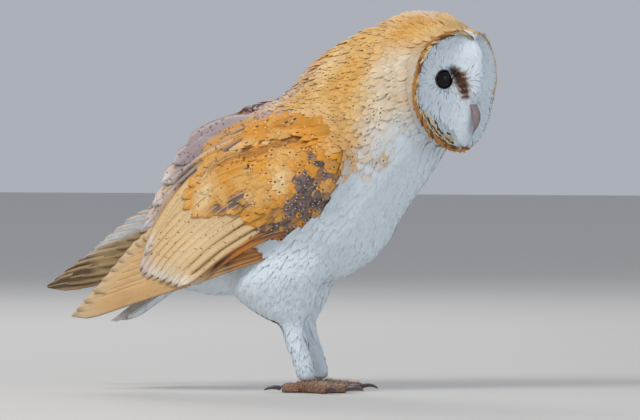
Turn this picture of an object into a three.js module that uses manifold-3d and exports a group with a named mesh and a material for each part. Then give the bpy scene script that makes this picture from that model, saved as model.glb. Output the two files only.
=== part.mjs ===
// A barn owl standing on both feet, life size, in millimetres.
// +X is forward, +Y the bird's left, +Z up. The bird leans forward, its head is turned to its
// right, and both wings are folded, the left one a little higher than the right.
import * as THREE from "three";
import { mergeVertices } from "three/addons/utils/BufferGeometryUtils.js";
import Module from "manifold-3d";

const wasm = await Module();
wasm.setup();

// ---------------------------------------------------------------- driving sizes
const GAP = 0.3; // clearance between two pieces that touch
const FAN_GAP = 0.6; // clearance left round the long feathers

const BODY = {
  // Cross lines of the body from the nape to the vent: a point on the back, the point across
  // from it on the breast or belly, and half the body's width there.
  lines: [
    { back: [53, 280], front: [102, 183], half: 38 },
    { back: [31, 273], front: [95, 174], half: 42 },
    { back: [8, 257], front: [86, 160], half: 46 },
    { back: [-15, 237], front: [77, 147], half: 49 },
    { back: [-38, 218], front: [69, 136], half: 50 },
    { back: [-60, 203], front: [61, 122], half: 50 },
    { back: [-78, 186], front: [50, 104], half: 49 },
    { back: [-92, 167], front: [30, 87], half: 47 },
    { back: [-104, 148], front: [0, 77], half: 43 },
    { back: [-112, 132], front: [-33, 71], half: 37 },
    { back: [-118, 118], front: [-60, 69], half: 31 },
    { back: [-122, 106], front: [-84, 69], half: 24 },
    { back: [-125, 95], front: [-106, 74], half: 13 },
  ],
  neckEnd: 0.22, // share of the line list that belongs to the neck
  neckSteps: 3,
  trunkSteps: 10,
  sides: 18,
};

const HEAD = {
  centre: new THREE.Vector3(80, 0, 235),
  turn: THREE.MathUtils.degToRad(-30), // to the bird's right
  // Rings behind the face: distance forward of the centre, half width, top and bottom.
  rings: [
    { forward: 14, half: 45, top: 49, bottom: -52 },
    { forward: 0, half: 43, top: 50.5, bottom: -50 },
    { forward: -14, half: 39, top: 50, bottom: -45 },
    { forward: -27, half: 32, top: 45, bottom: -36 },
    { forward: -37, half: 22, top: 35, bottom: -24 },
    { forward: -43, half: 9, top: 17, bottom: -8 },
  ],
};

const FACE = {
  halfWidth: 47,
  halfHeight: 45,
  middleUp: -8.5, // height of the disc's middle over the head's centre
  notch: 5.5, // how far the heart shape dips between its two lobes
  chin: 0.13, // how much narrower it grows toward the chin than an oval
  // The ridge between the two half discs: height, and how far it stands forward.
  ridge: [
    { up: -56, forward: 37 },
    { up: -44, forward: 44.5 },
    { up: -30, forward: 48 },
    { up: -16, forward: 49.5 },
    { up: 2, forward: 52.5 },
    { up: 16, forward: 52 },
    { up: 34, forward: 47.5 },
  ],
  sweep: 0.49, // the half discs slope back from the ridge by this much per mm
  dish: 5.5, // how far each half disc is hollowed
  ruff: 2.2, // how far the rim stands up
  thickness: 9,
  sides: 20,
  rounds: 4,
};

const EYE = { radius: 8.6, forward: 31.2, side: 17.6, up: 0 };

const BILL = {
  upper: [
    { forward: 37, up: -12, radius: 4.2 },
    { forward: 43.5, up: -17.5, radius: 4.6 },
    { forward: 48, up: -25.5, radius: 4 },
    { forward: 49.2, up: -33.5, radius: 2.8 },
    { forward: 46.5, up: -40.5, radius: 0.9 },
  ],
  lower: [
    { forward: 37, up: -24.5, radius: 2.6 },
    { forward: 41.3, up: -29.5, radius: 2.6 },
    { forward: 43.2, up: -34.5, radius: 1.9 },
    { forward: 43.8, up: -37.5, radius: 0.9 },
  ],
  steps: 6,
  sides: 8,
};

const SHOULDER = { x: 20, z: 180 }; // the wings fold about this point
// open: how much further the primaries reach than on a fully folded wing
const WING = {
  right: { side: -1, lift: 0, open: 0 },
  left: { side: 1, lift: THREE.MathUtils.degToRad(-6.3), open: 0.09 },
};
const LEAN = 0.34; // the folded wings lean toward each other by this much per mm of height

const COVERTS = {
  upper: [[31, 184], [12, 196], [-12, 196], [-39, 191], [-62, 184], [-86, 171]],
  lower: [[33, 172], [24, 146], [3, 128], [-18, 117], [-44, 117], [-84, 144]],
  under: -3,
  edge: 2.4,
  rise: [9.5, 10.5, 9.5, 8.5, 7.5, 6.6],
  steps: 9,
  across: 5,
};

const SCAPULARS = {
  upper: [[22, 205], [2, 216], [-22, 218], [-44, 213], [-66, 203], [-90, 187]],
  lower: [[24, 191], [6, 199], [-14, 199], [-39, 194], [-62, 187], [-88, 176]],
  under: -3,
  edge: 1.6,
  rise: [3, 6.5, 8, 8, 7.5, 6],
  steps: 7,
  across: 4,
};

const FANS = {
  tertials: {
    feathers: 4,
    roots: [[-46, 205], [-56, 196], [-62, 184]],
    tips: [[-97, 185], [-111, 165], [-120, 146], [-131, 120]],
    opening: 0,
    under: 2.6,
    over: 5.6,
    tip: 1.6,
    scallop: 0.07,
    columns: 2,
    rows: 2,
  },
  secondaries: {
    feathers: 11,
    roots: [[-70, 170], [-58, 150], [-48, 132], [-34, 117]],
    tips: [[-106, 133], [-118, 116], [-128, 101], [-134, 91], [-124, 85], [-111, 83], [-98, 79]],
    opening: 0,
    under: 2.9,
    over: 5.6,
    tip: 1.5,
    scallop: 0.05,
    columns: 2,
    rows: 3,
  },
  primaries: {
    feathers: 5,
    roots: [[-66, 128], [-52, 112], [-38, 100]],
    tips: [[-130, 115], [-142, 106], [-153, 94], [-165, 80], [-179, 65], [-188, 55]],
    opening: 1,
    under: 0.5,
    over: 2.6,
    tip: 1.3,
    scallop: 0.035,
    columns: 2,
    rows: 2,
  },
};

const TAIL = {
  feathers: 12,
  root: new THREE.Vector3(-86, 0, 100),
  tip: new THREE.Vector3(-158, 0, 49),
  rootHalf: 10,
  tipHalf: 24,
  thickness: 4.2,
  tipThickness: 1.6,
  columns: 2,
  rows: 2,
};

const LEG = {
  // Feathered thigh, level sections: height, middle, half length and half width.
  thigh: [
    { up: 112, x: -16, long: 30, wide: 19 },
    { up: 96, x: -22, long: 38, wide: 22 },
    { up: 81, x: -30, long: 38.5, wide: 22.5 },
    { up: 70, x: -29.5, long: 34, wide: 19.5 },
    { up: 61, x: -25, long: 26.5, wide: 16.5 },
    { up: 54, x: -22, long: 18, wide: 12.5 },
    { up: 49.5, x: -19.5, long: 9.5, wide: 8.5 },
  ],
  tarsus: [
    { up: 62, x: -18, long: 7.5, wide: 7.5 },
    { up: 48, x: -16.5, long: 9.2, wide: 8.6 },
    { up: 36, x: -13, long: 9, wide: 8 },
    { up: 24, x: -9.2, long: 9, wide: 8 },
    { up: 13, x: -6.5, long: 8.6, wide: 7.8 },
    { up: 8, x: -6.5, long: 6.6, wide: 6.2 },
  ],
  spread: 19.5, // each leg stands this far from the middle
  leftAhead: 2, // the left foot stands this far ahead of the right one
  sides: 12,
};

const FOOT = {
  ankle: new THREE.Vector3(-7, 0, 0),
  toeRadius: 4.6,
  // Heading of each toe from straight ahead, outward positive, and its length from the ankle.
  toes: [
    { name: "inner", heading: -24, length: 27 },
    { name: "middle", heading: 4, length: 31 },
    { name: "outer", heading: 40, length: 26 },
    { name: "hind", heading: 170, length: 17 },
  ],
  padCount: 3,
  toeSteps: 4,
  toeSides: 6,
  clawSeat: 1, // room for the claw's slanted root
  clawSteps: 4,
  clawSides: 5,
  clawLength: 14,
  clawRadius: 2.3,
  clawLift: 0.5, // the claws hang just over the ground
};

// ---------------------------------------------------------------- building helpers
const UP = new THREE.Vector3(0, 0, 1);

function mix(a, b, t) {
  return a + (b - a) * t;
}

function smooth(t) {
  const held = Math.min(1, Math.max(0, t));
  return held * held * (3 - 2 * held);
}

// A closed surface through rings of equal length; both ends are closed by strips.
function loft(rings) {
  const size = rings[0].length;
  const points = rings.flat();
  const faces = [];
  for (let ring = 0; ring + 1 < rings.length; ring += 1) {
    for (let k = 0; k < size; k += 1) {
      const a = ring * size + k;
      const b = ring * size + (k + 1) % size;
      faces.push(a, b, a + size, b, b + size, a + size);
    }
  }
  const last = (rings.length - 1) * size;
  for (let k = 0; k + 1 < size - 1 - k; k += 1) {
    const a = k;
    const b = k + 1;
    const c = size - 1 - k;
    const d = size - 2 - k;
    faces.push(a, c, b);
    faces.push(last + a, last + b, last + c);
    if (d > b) {
      faces.push(b, c, d);
      faces.push(last + b, last + d, last + c);
    }
  }
  return closedGeometry(points, faces);
}

// Turns the faces round where they point inward.
function closedGeometry(points, faces) {
  let volume = 0;
  for (let k = 0; k < faces.length; k += 3) {
    const [a, b, c] = [points[faces[k]], points[faces[k + 1]], points[faces[k + 2]]];
    volume += a.dot(new THREE.Vector3().crossVectors(b, c));
  }
  const order = volume < 0 ? faces.reverse() : faces;
  const geometry = new THREE.BufferGeometry().setFromPoints(points);
  geometry.setIndex(order);
  return geometry;
}

function toSolid(geometry) {
  const bare = geometry.clone();
  bare.deleteAttribute("normal");
  bare.deleteAttribute("uv");
  const merged = mergeVertices(bare, 1e-4);
  return new wasm.Manifold(new wasm.Mesh({
    numProp: 3,
    vertProperties: new Float32Array(merged.getAttribute("position").array),
    triVerts: new Uint32Array(merged.index.array),
  }));
}

function toGeometry(solid) {
  const mesh = largest(solid).getMesh();
  const geometry = new THREE.BufferGeometry();
  geometry.setAttribute("position", new THREE.BufferAttribute(mesh.vertProperties, 3));
  geometry.setIndex(new THREE.BufferAttribute(mesh.triVerts, 1));
  return geometry;
}

// A cut can leave crumbs; the piece itself is the largest.
function largest(solid) {
  const pieces = solid.decompose();
  return pieces.reduce((best, piece) => (piece.volume() > best.volume() ? piece : best));
}

function cut(solid, ...others) {
  return others.reduce((left, other) => left.subtract(other), solid);
}

// Smooth curve through rows of numbers, read at t from 0 to 1.
function through(rows) {
  const last = rows.length - 1;
  return (t) => {
    const place = Math.min(last, Math.max(0, t * last));
    const k = Math.min(last - 1, Math.floor(place));
    const f = place - k;
    const before = rows[Math.max(0, k - 1)];
    const after = rows[Math.min(last, k + 2)];
    return rows[k].map((a, i) => {
      const b = rows[k + 1][i];
      const pullA = (b - before[i]) / 2;
      const pullB = (after[i] - a) / 2;
      const curve = (2 * f ** 3 - 3 * f ** 2 + 1) * a + (f ** 3 - 2 * f ** 2 + f) * pullA;
      return curve + (3 * f ** 2 - 2 * f ** 3) * b + (f ** 3 - f ** 2) * pullB;
    });
  };
}

function ellipse(centre, first, second, sides) {
  const ring = [];
  for (let k = 0; k < sides; k += 1) {
    const angle = 2 * Math.PI * (k + 0.5) / sides;
    ring.push(centre.clone()
      .addScaledVector(first, Math.cos(angle))
      .addScaledVector(second, Math.sin(angle)));
  }
  return ring;
}

// ---------------------------------------------------------------- neck and trunk
const bodyLine = through(BODY.lines.map((line) => [...line.back, ...line.front, line.half]));

function bodyRing(t, grow, shrink = 1) {
  const [backX, backZ, frontX, frontZ, half] = bodyLine(t);
  const back = new THREE.Vector3(backX, 0, backZ);
  const front = new THREE.Vector3(frontX, 0, frontZ);
  const centre = back.clone().add(front).multiplyScalar(0.5);
  const depth = back.clone().sub(centre);
  depth.setLength(depth.length() * shrink + grow);
  const width = new THREE.Vector3(0, half * shrink + grow, 0);
  return ellipse(centre, depth, width, BODY.sides);
}

function bodyStretch(start, end, steps, grow = 0) {
  const rings = [];
  for (let k = 0; k <= steps; k += 1) {
    rings.push(bodyRing(mix(start, end, k / steps), grow));
  }
  return rings;
}

// The vent end is rounded off by three smaller rings past the last line.
function trunkGeometry(grow = 0) {
  const rings = bodyStretch(BODY.neckEnd, 1, BODY.trunkSteps, grow);
  const roundings = [{ past: 5, size: 0.8 }, { past: 8.5, size: 0.5 }, { past: 10, size: 0.2 }];
  for (const { past, size } of roundings) {
    const shift = new THREE.Vector3(-0.75, 0, -0.66).multiplyScalar(past + grow);
    rings.push(bodyRing(1, grow, size).map((point) => point.add(shift)));
  }
  return loft(rings);
}

function neckGeometry() {
  const rings = bodyStretch(0, BODY.neckEnd, BODY.neckSteps);
  const [a, b] = [rings[BODY.neckSteps - 1][0], rings[BODY.neckSteps][0]];
  const back = new THREE.Vector3().subVectors(a, b).setLength(1).multiplyScalar(GAP * 1.3);
  rings[BODY.neckSteps].forEach((point) => point.add(back));
  return loft(rings);
}

// Half the trunk's width at a place seen from the side, or 0 beside the trunk.
function flank(x, z) {
  let width = 0;
  const steps = 48;
  for (let k = 0; k <= steps; k += 1) {
    const [backX, backZ, frontX, frontZ, half] = bodyLine(k / steps);
    const run = new THREE.Vector2(frontX - backX, frontZ - backZ);
    const reach = new THREE.Vector2(x - backX, z - backZ);
    const along = reach.dot(run) / run.lengthSq();
    const off = Math.abs(reach.cross(run)) / run.length();
    const across = 2 * along - 1;
    if (Math.abs(across) < 1 && off < 6) {
      width = Math.max(width, half * Math.sqrt(1 - across * across) * Math.sqrt(1 - (off / 12) ** 2));
    }
  }
  return width;
}

// ---------------------------------------------------------------- head
const HEAD_AHEAD = new THREE.Vector3(Math.cos(HEAD.turn), Math.sin(HEAD.turn), 0);
const HEAD_LEFT = new THREE.Vector3(-Math.sin(HEAD.turn), Math.cos(HEAD.turn), 0);

function headPoint(forward, left, up) {
  return HEAD.centre.clone()
    .addScaledVector(HEAD_AHEAD, forward)
    .addScaledVector(HEAD_LEFT, left)
    .addScaledVector(UP, up);
}

// Outline of the heart-shaped face, from the notch at angle 0 over the bird's left side.
function rim(angle) {
  const s = Math.sin(angle);
  const c = Math.cos(angle);
  const narrow = c < 0 ? 1 - FACE.chin * c * c : 1;
  const left = FACE.halfWidth * Math.sign(s) * Math.abs(s) ** 0.8 * (1 + 0.08 * c) * narrow;
  const dip = c > 0 ? FACE.notch * Math.exp(-((left / 7) ** 2)) : 0;
  return { left, up: FACE.middleUp + FACE.halfHeight * c - dip };
}

function ridgeForward(up) {
  const marks = FACE.ridge;
  const held = Math.min(marks.at(-1).up, Math.max(marks[0].up, up));
  const k = Math.max(1, marks.findIndex((mark) => mark.up >= held));
  const t = smooth((held - marks[k - 1].up) / (marks[k].up - marks[k - 1].up));
  return mix(marks[k - 1].forward, marks[k].forward, t);
}

// The face stands forward along its ridge, is hollow on both sides and rises again at the ruff.
function faceForward(left, up, out) {
  const side = Math.hypot(left, 3) - 3;
  const hollow = FACE.dish * Math.sin(Math.PI * out ** 0.9) * smooth(side / 11);
  const ruff = FACE.ruff * Math.exp(-(((out - 0.94) / 0.07) ** 2)) * smooth(side / 8);
  return ridgeForward(up) - FACE.sweep * side - hollow + ruff;
}

function faceRing(out, behind, grow) {
  const ring = [];
  for (let k = 0; k < FACE.sides; k += 1) {
    const edge = rim(2 * Math.PI * (k + 0.5) / FACE.sides);
    const reach = out + grow / FACE.halfWidth;
    const left = edge.left * reach;
    const up = FACE.middleUp + (edge.up - FACE.middleUp) * reach;
    ring.push(headPoint(faceForward(left, up, out) - behind, left, up));
  }
  return ring;
}

function faceGeometry(grow = 0) {
  const rings = [];
  for (let k = 1; k <= FACE.rounds; k += 1) {
    rings.push(faceRing(k / FACE.rounds, -grow, k === FACE.rounds ? grow : 0));
  }
  for (let k = FACE.rounds; k >= 1; k -= 1) {
    rings.push(faceRing(k / FACE.rounds, FACE.thickness + grow, k === FACE.rounds ? grow : 0));
  }
  return loft(rings);
}

function headRing({ forward, half, top, bottom }, grow) {
  const middle = (top + bottom) / 2;
  const tall = (top - bottom) / 2 + grow;
  const ring = [];
  for (let k = 0; k < FACE.sides; k += 1) {
    const angle = 2 * Math.PI * (k + 0.5) / FACE.sides;
    ring.push(headPoint(forward, Math.sin(angle) * (half + grow), middle + Math.cos(angle) * tall));
  }
  return ring;
}

function craniumGeometry(grow = 0) {
  const behind = FACE.thickness + GAP - grow;
  const rings = [];
  for (let k = 1; k <= FACE.rounds; k += 1) {
    rings.push(faceRing(k / FACE.rounds, behind, 0));
  }
  const edge = rings.at(-1);
  const first = headRing(HEAD.rings[0], grow);
  for (const t of [0.3, 0.65]) {
    rings.push(edge.map((start, k) => {
      const end = first[k];
      const startAhead = start.clone().sub(HEAD.centre).dot(HEAD_AHEAD);
      const endAhead = end.clone().sub(HEAD.centre).dot(HEAD_AHEAD);
      const bulge = end.clone().addScaledVector(HEAD_AHEAD, startAhead - endAhead);
      return start.clone().multiplyScalar((1 - t) ** 2)
        .addScaledVector(bulge, 2 * t * (1 - t))
        .addScaledVector(end, t * t);
    }));
  }
  rings.push(first);
  const rows = through(HEAD.rings.map((ring) => [ring.forward, ring.half, ring.top, ring.bottom]));
  const steps = 5;
  for (let k = 1; k <= steps; k += 1) {
    const [forward, half, top, bottom] = rows(k / steps);
    rings.push(headRing({ forward: forward - grow, half, top, bottom }, grow));
  }
  return loft(rings);
}

function eyeGeometry(side, grow = 0) {
  const ball = new THREE.SphereGeometry(EYE.radius + grow, 10, 7);
  const place = headPoint(EYE.forward, side * EYE.side, EYE.up);
  ball.rotateX(Math.PI / 2);
  ball.translate(place.x, place.y, place.z);
  return ball;
}

// A horn or claw: round sections along a curve of places with their radii.
function horn(places, steps, sides, grow = 0) {
  const track = through(places.map(({ point, radius }) => [...point.toArray(), radius]));
  const rings = [];
  for (let k = 0; k <= steps; k += 1) {
    const [x, y, z, radius] = track(k / steps);
    const before = new THREE.Vector3(...track(Math.max(0, (k - 0.5) / steps)));
    const after = new THREE.Vector3(...track(Math.min(1, (k + 0.5) / steps)));
    const heading = after.sub(before).normalize();
    const level = new THREE.Vector3().crossVectors(heading, UP).normalize();
    const upright = new THREE.Vector3().crossVectors(level, heading).normalize();
    const centre = new THREE.Vector3(x, y, z);
    const end = k === 0 ? -1 : 1;
    if (k === 0 || k === steps) centre.addScaledVector(heading, grow * end);
    const size = radius + grow;
    rings.push(ellipse(centre, level.multiplyScalar(size), upright.multiplyScalar(size), sides));
  }
  return loft(rings);
}

function billGeometry(marks, grow = 0) {
  const places = marks.map(({ forward, up, radius }) => ({ point: headPoint(forward, 0, up), radius }));
  return horn(places, BILL.steps, BILL.sides, grow);
}

// ---------------------------------------------------------------- wings
// A place on a wing, in the side view of a fully lowered wing, moved by the wing's own lift.
function wingPlace(wing, x, z) {
  const turned = new THREE.Vector2(x, z).rotateAround(new THREE.Vector2(SHOULDER.x, SHOULDER.z), wing.lift);
  return turned;
}

// The bed that the wing lies on: the flank, and behind the trunk a plane toward the other wing.
function bed(x, z) {
  const away = smooth((-40 - x) / 60);
  const keel = mix(150, 62, smooth((-50 - x) / 140));
  const closing = mix(44, 13, Math.min(1, Math.max(0, (-70 - x) / 125))) - LEAN * (z - keel);
  return Math.max(flank(x, z), away * closing, 4);
}

function wingPoint(wing, x, z, out) {
  const place = wingPlace(wing, x, z);
  return new THREE.Vector3(place.x, wing.side * (bed(place.x, place.y) + out), place.y);
}

// A padded strip along the wing between an upper and a lower edge.
function stripGeometry(strip, wing, grow = 0) {
  const upper = through(strip.upper);
  const lower = through(strip.lower);
  const rise = through(strip.rise.map((height) => [height]));
  const rings = [];
  for (let k = 0; k <= strip.steps; k += 1) {
    const t = k / strip.steps;
    const [upperX, upperZ] = upper(t);
    const [lowerX, lowerZ] = lower(t);
    const spare = grow / Math.hypot(upperX - lowerX, upperZ - lowerZ);
    const end = (k === 0 ? 1 : 0) - (k === strip.steps ? 1 : 0);
    const row = [];
    const under = [];
    for (let j = 0; j <= strip.across; j += 1) {
      const w = mix(-spare, 1 + spare, j / strip.across);
      const swell = 1 - Math.abs(2 * j / strip.across - 1) ** 2.6;
      const x = mix(upperX, lowerX, w) + end * grow;
      const z = mix(upperZ, lowerZ, w);
      const ends = smooth(Math.min(t, 1 - t) * 8);
      const out = strip.edge + (rise(t)[0] - strip.edge) * swell * mix(0.45, 1, ends);
      row.push(wingPoint(wing, x, z, out + grow));
      under.push(wingPoint(wing, x, z, strip.under - grow));
    }
    rings.push([...row, ...under.reverse()]);
  }
  return loft(rings);
}

// A fan of long feathers that overlap, with a rounded tip on each.
function fanGeometry(fan, wing, grow = 0) {
  const roots = through(fan.roots);
  const tips = through(fan.tips);
  const columns = fan.feathers * fan.columns;
  const rings = [];
  for (let k = 0; k <= columns; k += 1) {
    const t = k / columns;
    const across = (k % fan.columns) / fan.columns;
    const reach = 1 + fan.opening * wing.open;
    const round = reach * (1 - fan.scallop * (2 * across - 1) ** 2);
    const [rootX, rootZ] = roots(t);
    const [tipX, tipZ] = tips(t);
    const length = Math.hypot(tipX - rootX, tipZ - rootZ);
    const edge = (k === 0 ? 1 : 0) - (k === columns ? 1 : 0);
    const row = [];
    const under = [];
    for (let j = 0; j <= fan.rows; j += 1) {
      const along = (j / fan.rows) * round;
      const spare = (j === 0 ? -grow : 0) + (j === fan.rows ? grow : 0);
      const s = along + spare / length;
      const x = mix(rootX, tipX, s) + edge * grow * 0.6;
      const z = mix(rootZ, tipZ, s) + edge * grow;
      const thick = mix(fan.over - fan.under, fan.tip, j / fan.rows);
      const lap = 0.35 * across;
      row.push(wingPoint(wing, x, z, fan.under + thick - lap + grow));
      under.push(wingPoint(wing, x, z, fan.under - grow));
    }
    rings.push([...row, ...under.reverse()]);
  }
  return loft(rings);
}

// ---------------------------------------------------------------- tail
function tailGeometry(grow = 0) {
  const run = TAIL.tip.clone().sub(TAIL.root);
  const heading = run.clone().normalize();
  const lift = new THREE.Vector3().crossVectors(heading, new THREE.Vector3(0, 1, 0)).normalize();
  if (lift.z < 0) lift.negate();
  const columns = TAIL.feathers * TAIL.columns;
  const rings = [];
  for (let k = 0; k <= columns; k += 1) {
    const side = 2 * k / columns - 1;
    const round = 1 - 0.035 * (2 * (k % TAIL.columns) / TAIL.columns - 1) ** 2 - 0.05 * side * side;
    const over = [];
    const under = [];
    for (let j = 0; j <= TAIL.rows; j += 1) {
      const s = (j / TAIL.rows) * round;
      const half = mix(TAIL.rootHalf, TAIL.tipHalf, s);
      const thick = mix(TAIL.thickness, TAIL.tipThickness, j / TAIL.rows);
      const middle = TAIL.root.clone().addScaledVector(run, s)
        .addScaledVector(lift, 3.5 * (1 - side * side));
      middle.y = side * (half + grow);
      over.push(middle.clone().addScaledVector(lift, thick / 2 + grow));
      under.push(middle.clone().addScaledVector(lift, -thick / 2 - grow));
    }
    rings.push([...over, ...under.reverse()]);
  }
  return loft(rings);
}

// ---------------------------------------------------------------- legs and feet
function legShift(side) {
  return new THREE.Vector3(side > 0 ? LEG.leftAhead : 0, side * LEG.spread, 0);
}

// Level sections joined from the top down; the shift grows toward the foot.
function legGeometry(sections, side, grow = 0) {
  const rows = through(sections.map(({ up, x, long, wide }) => [up, x, long, wide]));
  const steps = sections.length;
  const shift = legShift(side);
  const rings = [];
  for (let k = 0; k <= steps; k += 1) {
    const [up, x, long, wide] = rows(k / steps);
    const end = k === 0 ? grow : 0;
    const foot = smooth((80 - up) / 80);
    const level = up + end - (k === steps ? grow : 0);
    const apart = Math.sign(side) * Math.max(LEG.spread, wide + GAP);
    const centre = new THREE.Vector3(x + shift.x * foot, apart, level);
    const first = new THREE.Vector3(long + grow, 0, 0);
    const second = new THREE.Vector3(0, wide + grow, 0);
    rings.push(ellipse(centre, first, second, LEG.sides));
  }
  return loft(rings);
}

function toeHeading(toe, side) {
  const angle = THREE.MathUtils.degToRad(toe.heading) * side;
  return new THREE.Vector3(Math.cos(angle), Math.sin(angle), 0);
}

// A toe is fullest at its pads, thins toward the claw, and its sole is flat on the ground.
function toeGeometry(toe, side, grow = 0) {
  const heading = toeHeading(toe, side);
  const across = new THREE.Vector3(-heading.y, heading.x, 0);
  const rings = [];
  for (let k = 0; k <= FOOT.toeSteps; k += 1) {
    const t = k / FOOT.toeSteps;
    const pads = 0.09 * Math.cos(2 * Math.PI * FOOT.padCount * t);
    const end = t > 0.9 ? 0.82 : 1;
    const radius = FOOT.toeRadius * (mix(1.12, 0.74, t) + pads) * end;
    const centre = FOOT.ankle.clone().add(legShift(side)).addScaledVector(heading, toe.length * t);
    centre.z = radius * 0.82;
    const ring = ellipse(centre, across.clone().multiplyScalar(radius + grow),
      UP.clone().multiplyScalar(radius + grow), FOOT.toeSides);
    ring.forEach((point) => { point.z = Math.max(point.z, -grow); });
    rings.push(ring);
  }
  return loft(rings);
}

function clawGeometry(toe, side) {
  const heading = toeHeading(toe, side);
  const start = FOOT.ankle.clone().add(legShift(side)).addScaledVector(heading, toe.length + FOOT.clawSeat);
  const reach = FOOT.clawLength;
  const places = [
    { along: 0, up: 3.1, radius: FOOT.clawRadius },
    { along: 0.33, up: 4.3, radius: FOOT.clawRadius * 0.86 },
    { along: 0.68, up: 3.7, radius: FOOT.clawRadius * 0.58 },
    { along: 0.93, up: 1.3 + FOOT.clawLift, radius: FOOT.clawRadius * 0.24 },
  ].map(({ along, up, radius }) => {
    const point = start.clone().addScaledVector(heading, along * reach);
    point.z = up;
    return { point, radius };
  });
  return horn(places, FOOT.clawSteps, FOOT.clawSides);
}

function footSolid(side) {
  const ankle = legShift(side).add(FOOT.ankle);
  const knuckle = new THREE.SphereGeometry(7.2, 10, 6);
  knuckle.scale(1, 1, 0.78);
  knuckle.translate(ankle.x, ankle.y, 5.2);
  const place = knuckle.getAttribute("position");
  for (let k = 0; k < place.count; k += 1) place.setZ(k, Math.max(0, place.getZ(k)));
  const toes = FOOT.toes.map((toe) => toSolid(toeGeometry(toe, side)));
  return toes.reduce((foot, toe) => foot.add(toe), toSolid(knuckle));
}

// ---------------------------------------------------------------- fitting the pieces
const owl = new THREE.Group();

function material(color, roughness) {
  return new THREE.MeshStandardMaterial({ color, roughness, metalness: 0 });
}

const LOOK = {
  gold: () => material("#cf9243", 0.85),
  white: () => material("#eee9e2", 0.9),
  buff: () => material("#d8b886", 0.8),
  eye: () => material("#0d0b0c", 0.08),
  horn: () => material("#a4908f", 0.5),
  toe: () => material("#a06f52", 0.75),
  claw: () => material("#463b42", 0.4),
};

function addPart(name, geometry, look) {
  const mesh = new THREE.Mesh(geometry, look());
  mesh.name = name;
  owl.add(mesh);
}

const trunkBed = toSolid(trunkGeometry(GAP));
const faceBed = toSolid(faceGeometry(GAP));
const craniumBed = toSolid(craniumGeometry(GAP));
const eyeBeds = [-1, 1].map((side) => toSolid(eyeGeometry(side, GAP)));
const upperBillBed = toSolid(billGeometry(BILL.upper, GAP));
const lowerBillBed = toSolid(billGeometry(BILL.lower, GAP));

const thighs = [-1, 1].map((side) => toSolid(legGeometry(LEG.thigh, side)));
const thighBeds = [-1, 1].map((side) => toSolid(legGeometry(LEG.thigh, side, GAP)));
const tailBed = toSolid(tailGeometry(GAP));

addPart("trunk", toGeometry(cut(toSolid(trunkGeometry()), ...thighBeds, tailBed)), LOOK.gold);
addPart("neck", toGeometry(cut(toSolid(neckGeometry()), faceBed, craniumBed)), LOOK.gold);
addPart("head", toGeometry(cut(toSolid(craniumGeometry()), faceBed, ...eyeBeds, upperBillBed, lowerBillBed)), LOOK.gold);

const face = cut(toSolid(faceGeometry()), ...eyeBeds, upperBillBed, lowerBillBed);
for (const [name, side] of [["facial_disc_right", -1], ["facial_disc_left", 1]]) {
  const block = new THREE.BoxGeometry(160, 100, 160);
  block.translate(0, side * (50 + GAP / 2), 0);
  block.rotateZ(HEAD.turn);
  block.translate(HEAD.centre.x, HEAD.centre.y, HEAD.centre.z);
  addPart(name, toGeometry(face.intersect(toSolid(block))), LOOK.white);
}

addPart("eye_right", eyeGeometry(-1), LOOK.eye);
addPart("eye_left", eyeGeometry(1), LOOK.eye);
addPart("bill_upper", toGeometry(cut(toSolid(billGeometry(BILL.upper)), lowerBillBed)), LOOK.horn);
addPart("bill_lower", billGeometry(BILL.lower), LOOK.horn);

for (const [label, wing] of Object.entries(WING)) {
  const strips = { coverts: COVERTS, scapulars: SCAPULARS };
  const whole = {};
  const beds = {};
  for (const [name, strip] of Object.entries(strips)) {
    whole[name] = toSolid(stripGeometry(strip, wing));
    beds[name] = toSolid(stripGeometry(strip, wing, GAP));
  }
  for (const [name, fan] of Object.entries(FANS)) {
    whole[name] = toSolid(fanGeometry(fan, wing));
    beds[name] = toSolid(fanGeometry(fan, wing, FAN_GAP));
  }
  const over = [trunkBed];
  for (const name of ["scapulars", "coverts", "tertials", "secondaries", "primaries"]) {
    const node = name === "coverts" ? `wing_${label}` : `${name}_${label}`;
    addPart(node, toGeometry(cut(whole[name], ...over)), name === "coverts" ? LOOK.gold : LOOK.buff);
    over.push(beds[name], whole[name]);
  }
}

addPart("tail", tailGeometry(), LOOK.white);

for (const [label, side] of [["right", -1], ["left", 1]]) {
  const thigh = thighs[side < 0 ? 0 : 1];
  const thighBed = thighBeds[side < 0 ? 0 : 1];
  const foot = footSolid(side);
  const tarsus = toSolid(legGeometry(LEG.tarsus, side));
  const tarsusBed = toSolid(legGeometry(LEG.tarsus, side, GAP));
  addPart(`thigh_${label}`, toGeometry(thigh), LOOK.white);
  addPart(`tarsus_${label}`, toGeometry(cut(tarsus, thighBed)), LOOK.white);
  addPart(`foot_${label}`, toGeometry(cut(foot, tarsusBed)), LOOK.toe);
  for (const toe of FOOT.toes) {
    addPart(`claw_${toe.name}_${label}`, clawGeometry(toe, side), LOOK.claw);
  }
}

// The origin is on the ground under the middle of the whole bird.
const box = new THREE.Box3().setFromObject(owl);
owl.position.set(-(box.min.x + box.max.x) / 2, -(box.min.y + box.max.y) / 2, 0);

export default owl;
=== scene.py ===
"""Barn owl: skin, plumage, long feathers, eyes, bill, feet and a plain studio."""
import functools
import math

import bmesh
import bpy
import numpy as np
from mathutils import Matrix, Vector
from mathutils.bvhtree import BVHTree
from mathutils.kdtree import KDTree


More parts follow.
